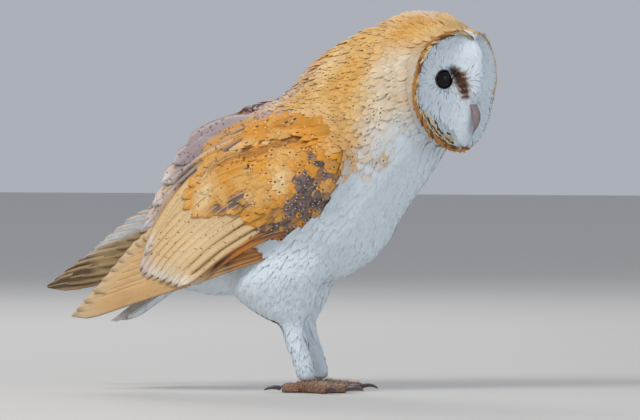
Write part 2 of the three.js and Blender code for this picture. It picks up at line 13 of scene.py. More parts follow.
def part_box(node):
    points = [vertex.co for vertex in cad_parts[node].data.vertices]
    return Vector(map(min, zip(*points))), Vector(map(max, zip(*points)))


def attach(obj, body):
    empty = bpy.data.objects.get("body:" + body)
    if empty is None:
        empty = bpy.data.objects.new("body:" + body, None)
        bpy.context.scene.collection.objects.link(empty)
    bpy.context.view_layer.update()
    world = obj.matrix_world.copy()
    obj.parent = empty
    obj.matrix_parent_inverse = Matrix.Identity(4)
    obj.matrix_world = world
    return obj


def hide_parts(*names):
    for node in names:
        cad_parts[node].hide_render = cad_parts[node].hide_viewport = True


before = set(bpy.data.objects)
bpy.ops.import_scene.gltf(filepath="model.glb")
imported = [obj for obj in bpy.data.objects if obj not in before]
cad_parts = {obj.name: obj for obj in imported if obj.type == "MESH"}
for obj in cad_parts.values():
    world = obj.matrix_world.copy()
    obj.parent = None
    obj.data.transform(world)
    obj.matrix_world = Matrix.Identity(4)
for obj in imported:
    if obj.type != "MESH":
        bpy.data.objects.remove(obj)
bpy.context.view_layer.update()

bl_info = {
    "name": "Barn Owl",
    "version": (1, 0, 0),
    "blender": (4, 5, 0),
    "location": "View3D > Sidebar > Owl",
    "description": "Dresses the solids of a barn owl in skin and feathers",
    "category": "Object",
}

MM = 0.001
SIDES = {"right": -1, "left": 1}
UP = np.array((0.0, 0.0, 1.0))

# ------------------------------------------------------------------ the bird's own frame
# Sizes below are in millimetres on the bird, seen from its side: x ahead, y to its left, z up.
HEAD_CENTRE = np.array((80.0, 0.0, 235.0))
EYE_AHEAD = 31.2


def box_middle(node):
    low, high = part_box(node)
    return np.array((low + high) / 2)


def unit(v):
    return v / np.maximum(np.linalg.norm(v, axis=-1, keepdims=True), 1e-12)


EYES = {side: box_middle(f"eye_{side}") for side in SIDES}
LEFTWARD = unit(EYES["left"] - EYES["right"])
AHEAD = np.cross(LEFTWARD, UP)
HEAD = (EYES["left"] + EYES["right"]) / 2 - AHEAD * EYE_AHEAD * MM
ORIGIN = HEAD - HEAD_CENTRE * MM


def place(x, y, z):
    """A point given in millimetres on the bird, in the frame's metres."""
    return ORIGIN + np.array((x, y, z)) * MM


def on_bird(points):
    """Frame points, in millimetres on the bird."""
    return (points - ORIGIN) / MM


def in_head(points):
    """Forward, left and up from the head's centre, in millimetres."""
    away = (points - HEAD) / MM
    return np.stack((away @ AHEAD, away @ LEFTWARD, away @ UP), axis=-1)


def from_head(forward, left, up):
    """The frame's points for places given from the head's centre."""
    forward, left, up = np.broadcast_arrays(forward, left, up)
    return HEAD + MM * (forward[..., None] * AHEAD + left[..., None] * LEFTWARD + up[..., None] * UP)


# ------------------------------------------------------------------ small mathematics
def smooth(t):
    t = np.clip(t, 0.0, 1.0)
    return t * t * (3 - 2 * t)


def mix(a, b, t):
    return a + (b - a) * t


def colour(red, green, blue):
    """A screen colour from 0 to 255, as the linear colour that shaders use."""
    c = np.array((red, green, blue)) / 255.0
    return np.where(c <= 0.04045, c / 12.92, ((c + 0.055) / 1.055) ** 2.4)


def blend(a, b, t):
    """Colour a drawn toward colour b by the share t of each point."""
    return a + (b - a) * np.asarray(t)[..., None]


def bell(*ways):
    """1 where all the ways are 0, and less the further off they are."""
    return np.exp(-sum(way**2 for way in ways))


def scaled(ways, amounts):
    """Each way times a whole row of amounts."""
    return ways[..., None, :] * amounts[..., None]


def square_to(vectors, normals):
    """Unit vectors that have lost what they share with the unit vectors of normals."""
    return unit(vectors - np.sum(vectors * normals, axis=1, keepdims=True) * normals)


def through(rows, t):
    """Smooth curve through rows of numbers, read at each t from 0 to 1."""
    rows = np.asarray(rows, float)
    t = np.clip(np.asarray(t, float), 0, 1) * (len(rows) - 1)
    k = np.minimum(t.astype(int), len(rows) - 2)
    f = (t - k)[..., None]
    a, b = rows[k], rows[k + 1]
    pull_a = (b - rows[np.maximum(k - 1, 0)]) / 2
    pull_b = (rows[np.minimum(k + 2, len(rows) - 1)] - a) / 2
    return ((2 * f**3 - 3 * f**2 + 1) * a + (f**3 - 2 * f**2 + f) * pull_a
            + (3 * f**2 - 2 * f**3) * b + (f**3 - f**2) * pull_b)


def patches(points, size, seed):
    """Soft random patches from -1 to 1, about one size across."""
    draw = np.random.default_rng(seed)
    total = np.zeros(len(points))
    for _ in range(9):
        wave = unit(draw.normal(size=3)) * draw.uniform(0.7, 1.5) * 2 * math.pi / size
        total += np.sin(points @ wave + draw.uniform(0, 6.28))
    return np.clip(total / 4.0, -1, 1)


# ------------------------------------------------------------------ the face's shape
FACE_HALF_WIDTH = 47.0
FACE_HALF_HEIGHT = 45.0
FACE_MIDDLE_UP = -8.5
FACE_NOTCH = 5.5
FACE_CHIN = 0.13
RIDGE_UP = (-56, -44, -30, -16, 2, 16, 34)
RIDGE_AHEAD = (37, 44.5, 48, 49.5, 52.5, 52, 47.5)
CREST = 6.2  # how far the feathers between the eyes stand up
SIDE_SLOPE = 0.49  # how fast the face falls back from its middle ridge
HOLLOW = 5.5  # how deep each half of the face is dished
RUFF = 2.2  # how far the ruff stands up near the rim
RUFF_OUT = 0.94  # where it stands, from 0 at the middle to 1 at the rim


def rim(angle):
    """Left and up of the heart-shaped outline, from the notch over the left side."""
    s, c = np.sin(angle), np.cos(angle)
    narrow = np.where(c < 0, 1 - FACE_CHIN * c * c, 1)
    left = FACE_HALF_WIDTH * np.sign(s) * np.abs(s) ** 0.8 * (1 + 0.08 * c) * narrow
    dip = np.where(c > 0, FACE_NOTCH * bell(left / 7), 0)
    return left, FACE_MIDDLE_UP + FACE_HALF_HEIGHT * c - dip


RIM_ANGLES = np.linspace(0, 2 * math.pi, 361)
RIM_LEFT, RIM_UP = rim(RIM_ANGLES)
RIM_HEADING = np.unwrap(np.arctan2(RIM_LEFT, RIM_UP - FACE_MIDDLE_UP))
RIM_REACH = np.hypot(RIM_LEFT, RIM_UP - FACE_MIDDLE_UP)


def face_out(left, up):
    """0 at the middle of the face, 1 at its rim."""
    heading = np.arctan2(left, up - FACE_MIDDLE_UP) % (2 * math.pi)
    order = np.argsort(RIM_HEADING % (2 * math.pi))
    reach = np.interp(heading, (RIM_HEADING % (2 * math.pi))[order], RIM_REACH[order])
    return np.hypot(left, up - FACE_MIDDLE_UP) / reach


def face_ahead(left, up, out):
    """How far ahead of the head's centre the face's feathers lie."""
    ridge = np.interp(up, RIDGE_UP, RIDGE_AHEAD)
    side = np.hypot(left, 3) - 3
    hollow = HOLLOW * np.sin(math.pi * np.clip(out, 0, 1) ** 0.9) * smooth(side / 11)
    ruff = RUFF * bell((out - RUFF_OUT) / 0.07) * smooth(side / 8)
    crest = CREST * bell(left / 5.5) * smooth((up + 22) / 14) * smooth((32 - up) / 14)
    return ridge - SIDE_SLOPE * side - hollow + ruff + crest


# ------------------------------------------------------------------ meshes
def put(name, data):
    """A new object in the scene."""
    piece = bpy.data.objects.new(name, data)
    bpy.context.scene.collection.objects.link(piece)
    return piece


def make_mesh(name, points, faces):
    mesh = bpy.data.meshes.new(name)
    faces = faces.tolist() if isinstance(faces, np.ndarray) else faces
    mesh.from_pydata(np.asarray(points).tolist(), [], faces)
    return mesh


def make_object(name, points, faces, material, smooth_faces=True):
    mesh = make_mesh(name, points, faces)
    mesh.materials.append(material)
    mesh.polygons.foreach_set("use_smooth", [smooth_faces] * len(mesh.polygons))
    mesh.update()
    return put(name, mesh)


def rework(mesh, change):
    """Makes one bmesh change to a mesh."""
    work = bmesh.new()
    work.from_mesh(mesh)
    change(work)
    work.to_mesh(mesh)
    work.free()


def join_doubles(mesh):
    rework(mesh, lambda work: bmesh.ops.remove_doubles(work, verts=work.verts, dist=1e-6))


def face_outward(mesh):
    rework(mesh, lambda work: bmesh.ops.recalc_face_normals(work, faces=work.faces))


def tube_faces(rings, turns):
    """Quads between neighbouring rings, which all have as many points as turns."""
    faces = []
    for ring in range(rings - 1):
        for turn in range(turns):
            a, b = ring * turns + turn, ring * turns + (turn + 1) % turns
            faces.append((a, b, b + turns, a + turns))
    return faces


def give_colours(mesh, name, values):
    layer = mesh.attributes.new(name, "FLOAT_COLOR", "POINT")
    rgba = np.ones((len(values), 4), np.float32)
    rgba[:, :3] = values
    layer.data.foreach_set("color", rgba.ravel())


def give_numbers(mesh, name, values):
    layer = mesh.attributes.new(name, "FLOAT", "POINT")
    layer.data.foreach_set("value", np.asarray(values, np.float32).ravel())


def give_map(mesh, name, per_point):
    corners = np.empty(len(mesh.loops), np.int32)
    mesh.loops.foreach_get("vertex_index", corners)
    layer = mesh.uv_layers.new(name=name)
    layer.data.foreach_set("uv", np.asarray(per_point, np.float32)[corners].ravel())


def mesh_arrays(mesh):
    """Points and faces of a mesh whose faces all have as many corners."""
    co = np.empty(len(mesh.vertices) * 3, np.float32)
    mesh.vertices.foreach_get("co", co)
    return co.reshape(-1, 3), np.array([face.vertices[:] for face in mesh.polygons])


def node_arrays(nodes):
    """Points and triangles of CAD nodes, with the number of the node that owns each triangle."""
    points, faces, owners = [], [], []
    start = 0
    for number, node in enumerate(nodes):
        corners, triangles = mesh_arrays(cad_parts[node].data)
        points.append(corners)
        faces.append(triangles + start)
        owners.append(np.full(len(triangles), number))
        start += len(corners)
    return np.concatenate(points), np.concatenate(faces), np.concatenate(owners)


def tree_of(points, faces):
    """A search tree over faces."""
    return BVHTree.FromPolygons(points.tolist(), faces.tolist())


def remeshed(name, nodes, voxel):
    """One closed surface round several nodes."""
    points, faces, _ = node_arrays(nodes)
    mesh = make_mesh(name, points, faces)
    join_doubles(mesh)
    piece = put(name, mesh)
    shell = piece.modifiers.new("shell", "REMESH")
    shell.mode = "VOXEL"
    shell.voxel_size = voxel
    seen = piece.evaluated_get(bpy.context.evaluated_depsgraph_get())
    result = bpy.data.meshes.new_from_object(seen)
    bpy.data.objects.remove(piece)
    points, quads = mesh_arrays(result)
    bpy.data.meshes.remove(result)
    return points.astype(float), quads


def edges_of(quads):
    """Each edge once, as two point numbers."""
    pairs = np.concatenate([quads[:, [k, (k + 1) % 4]] for k in range(4)])
    return np.unique(np.sort(pairs, axis=1), axis=0)


def averaged(values, edges, rounds, share=0.6):
    """Each point's value drawn toward the mean of its neighbours."""
    values = values.copy()
    count = np.zeros(len(values))
    np.add.at(count, edges[:, 0], 1)
    np.add.at(count, edges[:, 1], 1)
    for _ in range(rounds):
        total = np.zeros_like(values)
        np.add.at(total, edges[:, 0], values[edges[:, 1]])
        np.add.at(total, edges[:, 1], values[edges[:, 0]])
        values = mix(values, total / count[:, None], share)
    return values


def point_normals(points, quads):
    """Unit normals, weighted by the areas of the faces round each point."""
    cross = np.cross(points[quads[:, 2]] - points[quads[:, 0]],
                     points[quads[:, 3]] - points[quads[:, 1]])
    total = np.zeros_like(points)
    for k in range(4):
        np.add.at(total, quads[:, k], cross)
    return unit(total)


# ------------------------------------------------------------------ the skin
FLESH = ["trunk", "neck", "head", "facial_disc_right", "facial_disc_left"]
FLESH += [f"{part}_{side}" for part in ("wing", "scapulars", "thigh", "tarsus") for side in SIDES]
KIND = {name: name.rsplit("_", 1)[0] if name.endswith(("right", "left")) else name for name in FLESH}
COAT_DEPTH = {"trunk": 4.4, "neck": 4.2, "head": 3.4, "facial_disc": 1.6, "wing": 3.2,
              "scapulars": 3.2, "thigh": 4.2, "tarsus": 2.0}
# Where feather tips point; on the head and face that is worked out from the place.
FLOW = {
    "trunk": (-0.80, 0.0, -0.62), "neck": (-0.72, 0.0, -0.70), "wing": (-0.80, 0.0, -0.60),
    "scapulars": (-0.88, 0.0, -0.42), "thigh": (-0.30, 0.0, -0.95), "tarsus": (0.1, 0.0, -1.0),
}
BREAST_FLOW = np.array((-0.45, 0.0, -0.9))
SKIN_VOXEL = 1.9 * MM
UNWRAP_VOXEL = 5 * MM


class Skin:
    """The skin's points, faces and kinds, and the lie of the coat on it."""

    def __init__(self):
        points, quads = remeshed("skin_shape", FLESH, SKIN_VOXEL)
        source, triangles, owners = node_arrays(FLESH)
        nearest = tree_of(source, triangles)
        owner = np.array([owners[nearest.find_nearest(p)[2]] for p in points.tolist()])
        self.kind = np.array([KIND[FLESH[k]] for k in owner])
        edges = edges_of(quads)
        points = averaged(points, edges, 7)
        normals = point_normals(points, quads)
        depth = np.array([COAT_DEPTH[k] for k in self.kind])[:, None]
        depth = averaged(depth, edges, 8) * MM
        points = averaged(points - normals * depth, edges, 3)
        self.points = self.shape_face(points)
        self.quads = quads
        self.normals = point_normals(self.points, quads)
        self.flow = self.lie(edges)
        self.tree = tree_of(self.points, quads)
        corners = self.points[quads]
        diagonals = corners[:, 2:] - corners[:, :2]
        self.area = 0.5 * np.linalg.norm(np.cross(diagonals[:, 0], diagonals[:, 1]), axis=1)
        self.face_flow = unit(self.flow[quads].mean(axis=1))
        self.face_normal = unit(self.normals[quads].mean(axis=1))
        self.face_kind = self.kind[quads[:, 0]]
        self.middle = corners.mean(axis=1)

    @staticmethod
    def shape_face(points):
        """Draws the skin near the face onto the face's own shape."""
        forward, left, up = in_head(points).T
        out = face_out(left, up)
        target = face_ahead(left, up, out) - COAT_DEPTH["facial_disc"]
        reach = 9 + 9 * bell(left / 9)
        share = smooth((1.03 - out) / 0.06) * (forward > target - reach) * (forward < target + reach)
        return from_head(mix(forward, target, share), left, up)

    def lie(self, edges):
        """The way feathers point at each point of the skin, flat along it."""
        way = np.array([FLOW.get(kind, (0.0, 0.0, -1.0)) for kind in self.kind])
        _, left, _ = in_head(self.points).T
        x, _, z = on_bird(self.points).T
        # The breast and belly lie more steeply than the back.
        belly = smooth((x - (z - 170)) / 60) * np.isin(self.kind, ("trunk", "neck"))
        way = blend(way, BREAST_FLOW, belly)
        # On the crown and cheeks feathers run back from the face.
        way[self.kind == "head"] = np.array((0, 0, -0.25)) - AHEAD
        # On the face they spread from the eyes.
        face = self.kind == "facial_disc"
        for side, sign in SIDES.items():
            mine = face & (left * sign >= 0)
            away = self.points - EYES[side]
            away = away - (away @ AHEAD)[:, None] * AHEAD
            way[mine] = unit(away[mine])
        way = unit(way)
        way = np.where(face[:, None], way, averaged(way, edges, 14))
        return square_to(way, self.normals)


# ------------------------------------------------------------------ colours of the plumage
GOLD = colour(222, 177, 104)
ORANGE = colour(214, 156, 62)
AMBER = colour(222, 150, 40)
CREAM = colour(232, 208, 164)
WHITE = colour(224, 236, 244)
LILAC = colour(166, 148, 152)
UMBER = colour(92, 72, 62)
SMUDGE = colour(74, 38, 20)
BUFF = colour(222, 186, 134)
SAND = colour(212, 184, 146)
CHEEK = colour(228, 212, 186)
CROWN = colour(222, 204, 190)
RUST = colour(150, 98, 62)
EYE_CORNER = colour(46, 26, 16)
BURNT = colour(206, 124, 34)
# painted shade in the crease under the shoulder feathers
FOLD_SHADE = colour(150, 92, 40)
STRAW = colour(240, 218, 168)

BROAD, FINE, MOTTLE = 0.038, 0.014, 0.012  # sizes of the random patches, in metres

# The upper edge of the white underparts seen from the side, x and z.
WHITE_EDGE = ((-200, 6, 22, 34, 50, 58, 68, 76, 90), (188, 172, 172, 180, 180, 184, 196, 214, 262))

# The brown mark between eye and bill: places out from the middle and up, size, share.
MARK = ((13.4, 6, 3.8, 1), (11.4, 3, 4.2, 1), (9.8, -1, 3.8, 1),
        (8.6, -5, 3.2, 1), (7.6, -9, 2.9, 0.95), (6.6, -13, 2.3, 0.85))

# Patches of the wing seen from its side: middle x and z, half length, half height, slope,
# share. They are dark where the share is over 0, and pale where it is under 0.
WING_PATCHES = (
    (17, 175, 11, 8, -0.6, 0.9), (8, 163, 9, 11, 0.0, 0.95), (4, 145, 19, 10, 0.35, 1.1),
    (-20, 127, 18, 8, 0.5, 1.1), (-54, 143, 21, 6, 0.3, 0.85), (-36, 168, 9, 4, 0.3, 0.35),
    (-10, 166, 6, 9, 0.5, -0.8), (-80, 148, 7, 13, 1.0, -0.95), (-50, 188, 11, 5, 0.4, -0.7),
    (22, 158, 4, 8, 0.6, -0.3), (-42, 152, 7, 5, 0.6, -0.5),
)

# The folds of a wing seen from its side: x and z along the crease under the shoulder feathers,
# the top of the folded wing, the lower edge of the secondaries, and the top of the far primaries.
CREASE = ((-80, -63, -37, -12, 15), (167, 177, 187, 193, 197))
WING_TOP = ((-130, -112, -98, -88, -79, -62, -42), (120, 150, 170, 181, 195, 205, 214))
WING_FOOT = ((-90, -68, -36, -20), (82, 101, 123, 130))
FAR_TOP = ((-215, -194, -173, -142), (80, 101, 115, 128))


def wing_patches(x, z):
    """Dark share and pale share at places on a wing."""
    dark, pale = np.zeros(len(x)), np.zeros(len(x))
    for mid_x, mid_z, long, high, slope, share in WING_PATCHES:
        dx, dz = x - mid_x, z - mid_z - slope * (x - mid_x)
        here = bell(dx / long, dz / high) * abs(share)
        if share > 0:
            dark = np.maximum(dark, here)
        else:
            pale = np.maximum(pale, here)
    return dark, pale


def wing_colour(points, jitter, coverts):
    """Gold with cream patches, and grey ones and painted shade under the crease where coverts is set: colour
    and grey share.
    """
    x, _, z = on_bird(points).T
    broad, fine = patches(points, BROAD, 3), patches(points, FINE, 4)
    dark, pale = wing_patches(x, z)
    mottle = smooth(0.74 + 0.8 * patches(points, MOTTLE, 7) + 0.2 * jitter)
    dark = coverts * smooth(2.1 * dark * mottle - 0.16)
    rich = blend(AMBER, GOLD, 0.7 * smooth(0.12 + 0.9 * fine + 0.5 * broad))
    # Painted shade: a dark band just below the crease under the shoulder feathers.
    below = np.interp(x, *CREASE) - z
    fold_shade = bell((below - 1.5) / 3.2) * smooth((x + 88) / 14) * smooth((24 - x) / 10)
    rich = blend(rich, FOLD_SHADE, 0.75 * fold_shade * coverts)
    foot = smooth((np.interp(x, *WING_FOOT) - 2 - z) / 5) * (x > -75) * smooth((20 - x) / 12)
    rich = blend(rich, BURNT, foot)
    rich = blend(rich, STRAW, pale)
    return blend(rich, mix(LILAC, UMBER, 0.8) * (1 + 0.3 * jitter.clip(-1, 1))[:, None], dark), dark


def face_mark(left, up, jitter):
    """The brown mark between eye and bill: its colour, and its share at each point."""
    near = np.zeros(len(left))
    for side, height, size, share in MARK:
        near = np.maximum(near, share * bell((np.abs(left) - side) / size, (up - height) / size))
    burnt = blend(RUST, SMUDGE, smooth(1.7 * near - 0.45))
    burnt = blend(burnt, EYE_CORNER, smooth((np.abs(left) - 9) / 4) * smooth((up + 5) / 5))
    return burnt, smooth(1.5 * near - 0.12 + 0.1 * jitter)


def plumage(points, kinds, seed):
    """Colour and spot strength of a feather rooted at each point."""
    draw = np.random.default_rng(seed)
    x, y, z = on_bird(points).T
    forward, left, up = in_head(points).T
    notch = bell(left / 7) * smooth(up / 10)
    kinds = np.where((kinds == "facial_disc") & (face_out(left, up) > 0.94 + 0.08 * notch), "head", kinds)
    body = np.isin(kinds, ("trunk", "neck"))
    wing = np.isin(kinds, ("wing", "scapulars"))
    face = kinds == "facial_disc"
    jitter = draw.normal(size=len(points))
    broad, fine = patches(points, BROAD, 3), patches(points, FINE, 4)
    tint = blend(GOLD, CREAM, 0.45 * smooth(0.3 - 0.8 * broad + 0.3 * fine))
    tint = blend(tint, ORANGE, 0.62 * smooth(0.42 + 0.8 * broad + 0.3 * fine))
    # Sand colour over the white of the underparts, amber at the shoulder.
    edge = np.interp(x, *WHITE_EDGE)
    beige = bell((z - edge - 12) / 16) * smooth((x - 36) / 12) * 0.7
    tint = blend(tint, SAND, body * 0.55 * beige)
    tint = blend(tint, AMBER, body * 0.6 * bell((x - 22) / 20, (z - 192) / 20))
    # A veil of grey with fine dots along the back.
    veil = body * smooth(1.2 - np.abs(y) / 34) * smooth((z - edge) / 30) * smooth((28 - x) / 45)
    veil = veil * smooth(0.62 + 0.8 * patches(points, 0.02, 5) + 0.15 * jitter)
    tint = blend(tint, LILAC * (1 + 0.25 * jitter.clip(-1.5, 1.5))[:, None], 0.85 * veil)
    # White underparts, rump and legs.
    under = smooth(0.5 - (z - edge + 2.5 * jitter + 4 * fine) / 16)
    tint = blend(tint, WHITE, body * under)
    rump = body & (x < -60) & (z < 120)
    tint = np.where((rump | np.isin(kinds, ("thigh", "tarsus")))[:, None], WHITE, tint)
    # Crown and cheeks.
    head = (kinds == "head") | ((kinds == "neck") & (z > edge) & (x > 30))
    near_face = smooth((forward + 14) / 20) * smooth((34 - up) / 22)
    cheek = blend(CHEEK, WHITE, smooth((-12 - up) / 26))
    tint = blend(tint, cheek, head * near_face * (0.85 + 0.15 * fine))
    crown = smooth((up - 41 + 3 * fine) / 8) * smooth((forward + 45) / 20)
    tint = blend(tint, CROWN, head * 0.75 * crown)
    # Wing: saturated gold with patches, and grey toward the back.
    rich, dark = wing_colour(points, jitter, kinds == "wing")
    far = y > 0
    mottle = np.where(far, 1, smooth(0.62 + 0.9 * patches(points, MOTTLE, 7) + 0.25 * jitter))
    back = smooth((z - np.where(far, 196, 206)) / 8) * ((kinds == "scapulars") | far) * mottle
    tint = np.where(wing[:, None], blend(rich, LILAC, 0.85 * back), tint)
    # Face: white, with the brown mark.
    burnt, brown = face_mark(left, up, jitter)
    tint = np.where(face[:, None], blend(WHITE, burnt, brown), tint)
    even = (face & (brown > 0.3)) | (tint[:, 2] > 0.6)
    tint = tint * (1 + np.where(even, 0.02, 0.06) * jitter.clip(-2, 2))[:, None]
    # Spots: a half mark is a dark dot, a whole one has a white dot below it.
    spots = np.where(body, 0.26 * (1 - under) + 0.5 * veil, 0.0)
    spots = np.where(wing, 0.2 + 0.5 * np.maximum(dark, back), spots)
    spots = np.where(kinds == "head", 0.17 * smooth((up - 4) / 24) + 0.12 * crown, spots)
    marked = (draw.uniform(size=len(points)) < spots) * 0.5
    marked = np.where((marked > 0) & (wing | (veil > 0.3)), 1.0, marked)
    freckle = body & (draw.uniform(size=len(points)) < 0.004) & (under > 0.5) & (z < 150) & (z > 95)
    marked = np.where(freckle, 0.4, marked)
    return np.clip(tint, 0, 1), np.where(face, 0, marked)


# ------------------------------------------------------------------ laying feathers
SURPLUS = 3.2  # how many roots are tried for each one wanted
CELL_KEYS = np.array((73856093, 19349663, 83492791))  # large primes that tell cells apart


def scatter(skin, allowed, spacing, seed):
    """Evenly spread roots on the allowed faces of the skin: face numbers and points."""
    draw = np.random.default_rng(seed)
    chosen = np.flatnonzero(allowed)
    weight = skin.area[chosen]
    tried = int(weight.sum() / spacing**2 * SURPLUS)
    faces = draw.choice(chosen, tried, p=weight / weight.sum())
    a, b = draw.uniform(size=(2, tried, 1))
    corner = skin.points[skin.quads[faces]]
    points = (corner[:, 0] * (1 - a) * (1 - b) + corner[:, 1] * a * (1 - b)
              + corner[:, 2] * a * b + corner[:, 3] * (1 - a) * b)
    for shift in (0.0, 0.5):
        cell = np.floor(points / spacing + shift).astype(np.int64)
        _, first = np.unique(np.bitwise_xor.reduce(cell * CELL_KEYS, axis=1), return_index=True)
        faces, points = faces[first], points[first]
    return faces, points


def follow(skin, faces, points, lengths, rows, keep_heading, spread, seed):
    """Middle lines of feathers that lie along the skin: points and normals row by row."""
    draw = np.random.default_rng(seed)
    count = len(points)
    line = np.empty((count, rows + 1, 3))
    ups = np.empty((count, rows + 1, 3))
    turn = draw.normal(scale=spread, size=count)
    for k in range(count):
        normal = Vector(skin.face_normal[faces[k]])
        way = Vector(skin.face_flow[faces[k]])
        way = way + normal.cross(way) * turn[k]
        spot = Vector(points[k])
        step = lengths[k] / rows
        line[k, 0] = spot
        ups[k, 0] = normal
        for row in range(1, rows + 1):
            way = (way - normal * way.dot(normal)).normalized()
            spot, _, number, _ = skin.tree.find_nearest(spot + way * step)
            normal = Vector(skin.face_normal[number])
            way = way * keep_heading + Vector(skin.face_flow[number]) * (1 - keep_heading)
            line[k, row] = spot
            ups[k, row] = normal
    return line, ups


class Vanes:
    """Many feathers of one kind joined in one mesh."""

    PATCH = 0.003  # size of one feather on the flat map
    BORDER = 0.01  # free edge round the flat map
    FRAY = 4 * MM  # how far ragged tips rise or fall

    def __init__(self, line, ups, width, heights, shape, camber, ragged, columns, seed, soft=0.5):
        draw = np.random.default_rng(seed)
        self.ups, self.soft = ups, soft
        count, rows = line.shape[:2]
        along = unit(np.gradient(line, axis=1))
        across = unit(np.cross(ups, along))
        j = np.linspace(-1, 1, 2 * columns + 1)
        wide = (width[:, None] * np.asarray(shape))[:, :, None]
        centre = line + ups * heights[..., None]
        grid = centre[:, :, None] + scaled(across, wide * j / 2) - scaled(ups, wide * camber * j**2)
        if ragged:
            length = np.linalg.norm(line[:, -1] - line[:, 0], axis=1)
            share = np.linspace(0, 1, rows)[:, None] ** 3
            pull = draw.uniform(-1, 0.35, size=(count, len(j))) * ragged * length[:, None]
            grid += scaled(along, pull[:, None] * share)
            lift = draw.normal(scale=0.25, size=(count, len(j))) * ragged * self.FRAY
            grid += scaled(ups, lift[:, None] * share)
        self.grid = grid
        self.count, self.rows, self.across = count, rows, len(j)
        u, v = np.meshgrid((j + 1) / 2, np.linspace(0, 1, rows))
        self.local = np.stack((u, v), axis=-1).reshape(-1, 2)

    def build(self, name, material, tints, marks, roots):
        """tints holds one colour for each row of each feather."""
        per = self.rows * self.across
        start = np.arange(self.count)[:, None, None] * per
        r, c = np.meshgrid(np.arange(self.rows - 1), np.arange(self.across - 1), indexing="ij")
        a = (r * self.across + c).ravel()
        quad = np.stack((a, a + self.across, a + 1 + self.across, a + 1), axis=-1)
        faces = (start + quad[None]).reshape(-1, 4)
        piece = make_object(name, self.grid.reshape(-1, 3), faces, material)
        own = np.empty(len(piece.data.vertices) * 3, dtype=np.float32)
        piece.data.vertex_normals.foreach_get("vector", own)
        body = np.repeat(self.ups, self.across, axis=1).reshape(-1, 3)
        even = unit(mix(own.reshape(-1, 3), body, self.soft))
        piece.data.normals_split_custom_set_from_vertices(even.tolist())
        give_map(piece.data, "OFBake", self.bake_places(roots))
        give_map(piece.data, "vane", np.tile(self.local, (self.count, 1)))
        give_colours(piece.data, "tint", np.repeat(tints, self.across, axis=1).reshape(-1, 3))
        give_numbers(piece.data, "mark", np.repeat(marks, per))
        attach(piece, "root")
        return piece

    def bake_places(self, roots):
        """A small patch for each feather at its root's place on the skin's unwrap."""
        low, high = roots.min(0), roots.max(0)
        inside = 1 - 2 * self.BORDER
        middle = self.BORDER + inside * (roots - low) / np.maximum(high - low, 1e-6)
        patch = middle[:, None, :] + (self.local[None] - 0.5) * self.PATCH
        return np.clip(patch, 0, 1).reshape(-1, 2)


class Unwrap:
    """A flat map of the skin, worked out on a coarser copy of it."""

    def __init__(self):
        self.points, self.quads = remeshed("skin_unwrap", FLESH, UNWRAP_VOXEL)
        mesh = make_mesh("skin_unwrap", self.points, self.quads)
        piece = put("skin_unwrap", mesh)
        bpy.context.view_layer.objects.active = piece
        piece.select_set(True)
        bpy.ops.object.mode_set(mode="EDIT")
        bpy.ops.mesh.select_all(action="SELECT")
        bpy.ops.uv.smart_project(angle_limit=math.radians(66), island_margin=0.002)
        bpy.ops.object.mode_set(mode="OBJECT")
        flat = np.empty(len(mesh.loops) * 2, np.float32)
        mesh.uv_layers.active.data.foreach_get("uv", flat)
        self.flat = flat.reshape(-1, 2)
        self.start = np.array([p.loop_start for p in mesh.polygons])
        self.tree = tree_of(self.points, self.quads)
        bpy.data.objects.remove(piece)

    def roots(self, points):
        result = np.empty((len(points), 2))
        for k, spot in enumerate(points.tolist()):
            near, _, number, _ = self.tree.find_nearest(spot)
            corners = self.points[self.quads[number]]
            weight = 1 / (np.sum((corners - np.array(near)) ** 2, axis=1) + 1e-9)
            first = self.start[number]
            result[k] = weight @ self.flat[first:first + 4] / weight.sum()
        return result


# ------------------------------------------------------------------ materials
def add_node(tree, kind, **settings):
    made = tree.nodes.new(kind)
    for key, value in settings.items():
        setattr(made, key, value)
    return made


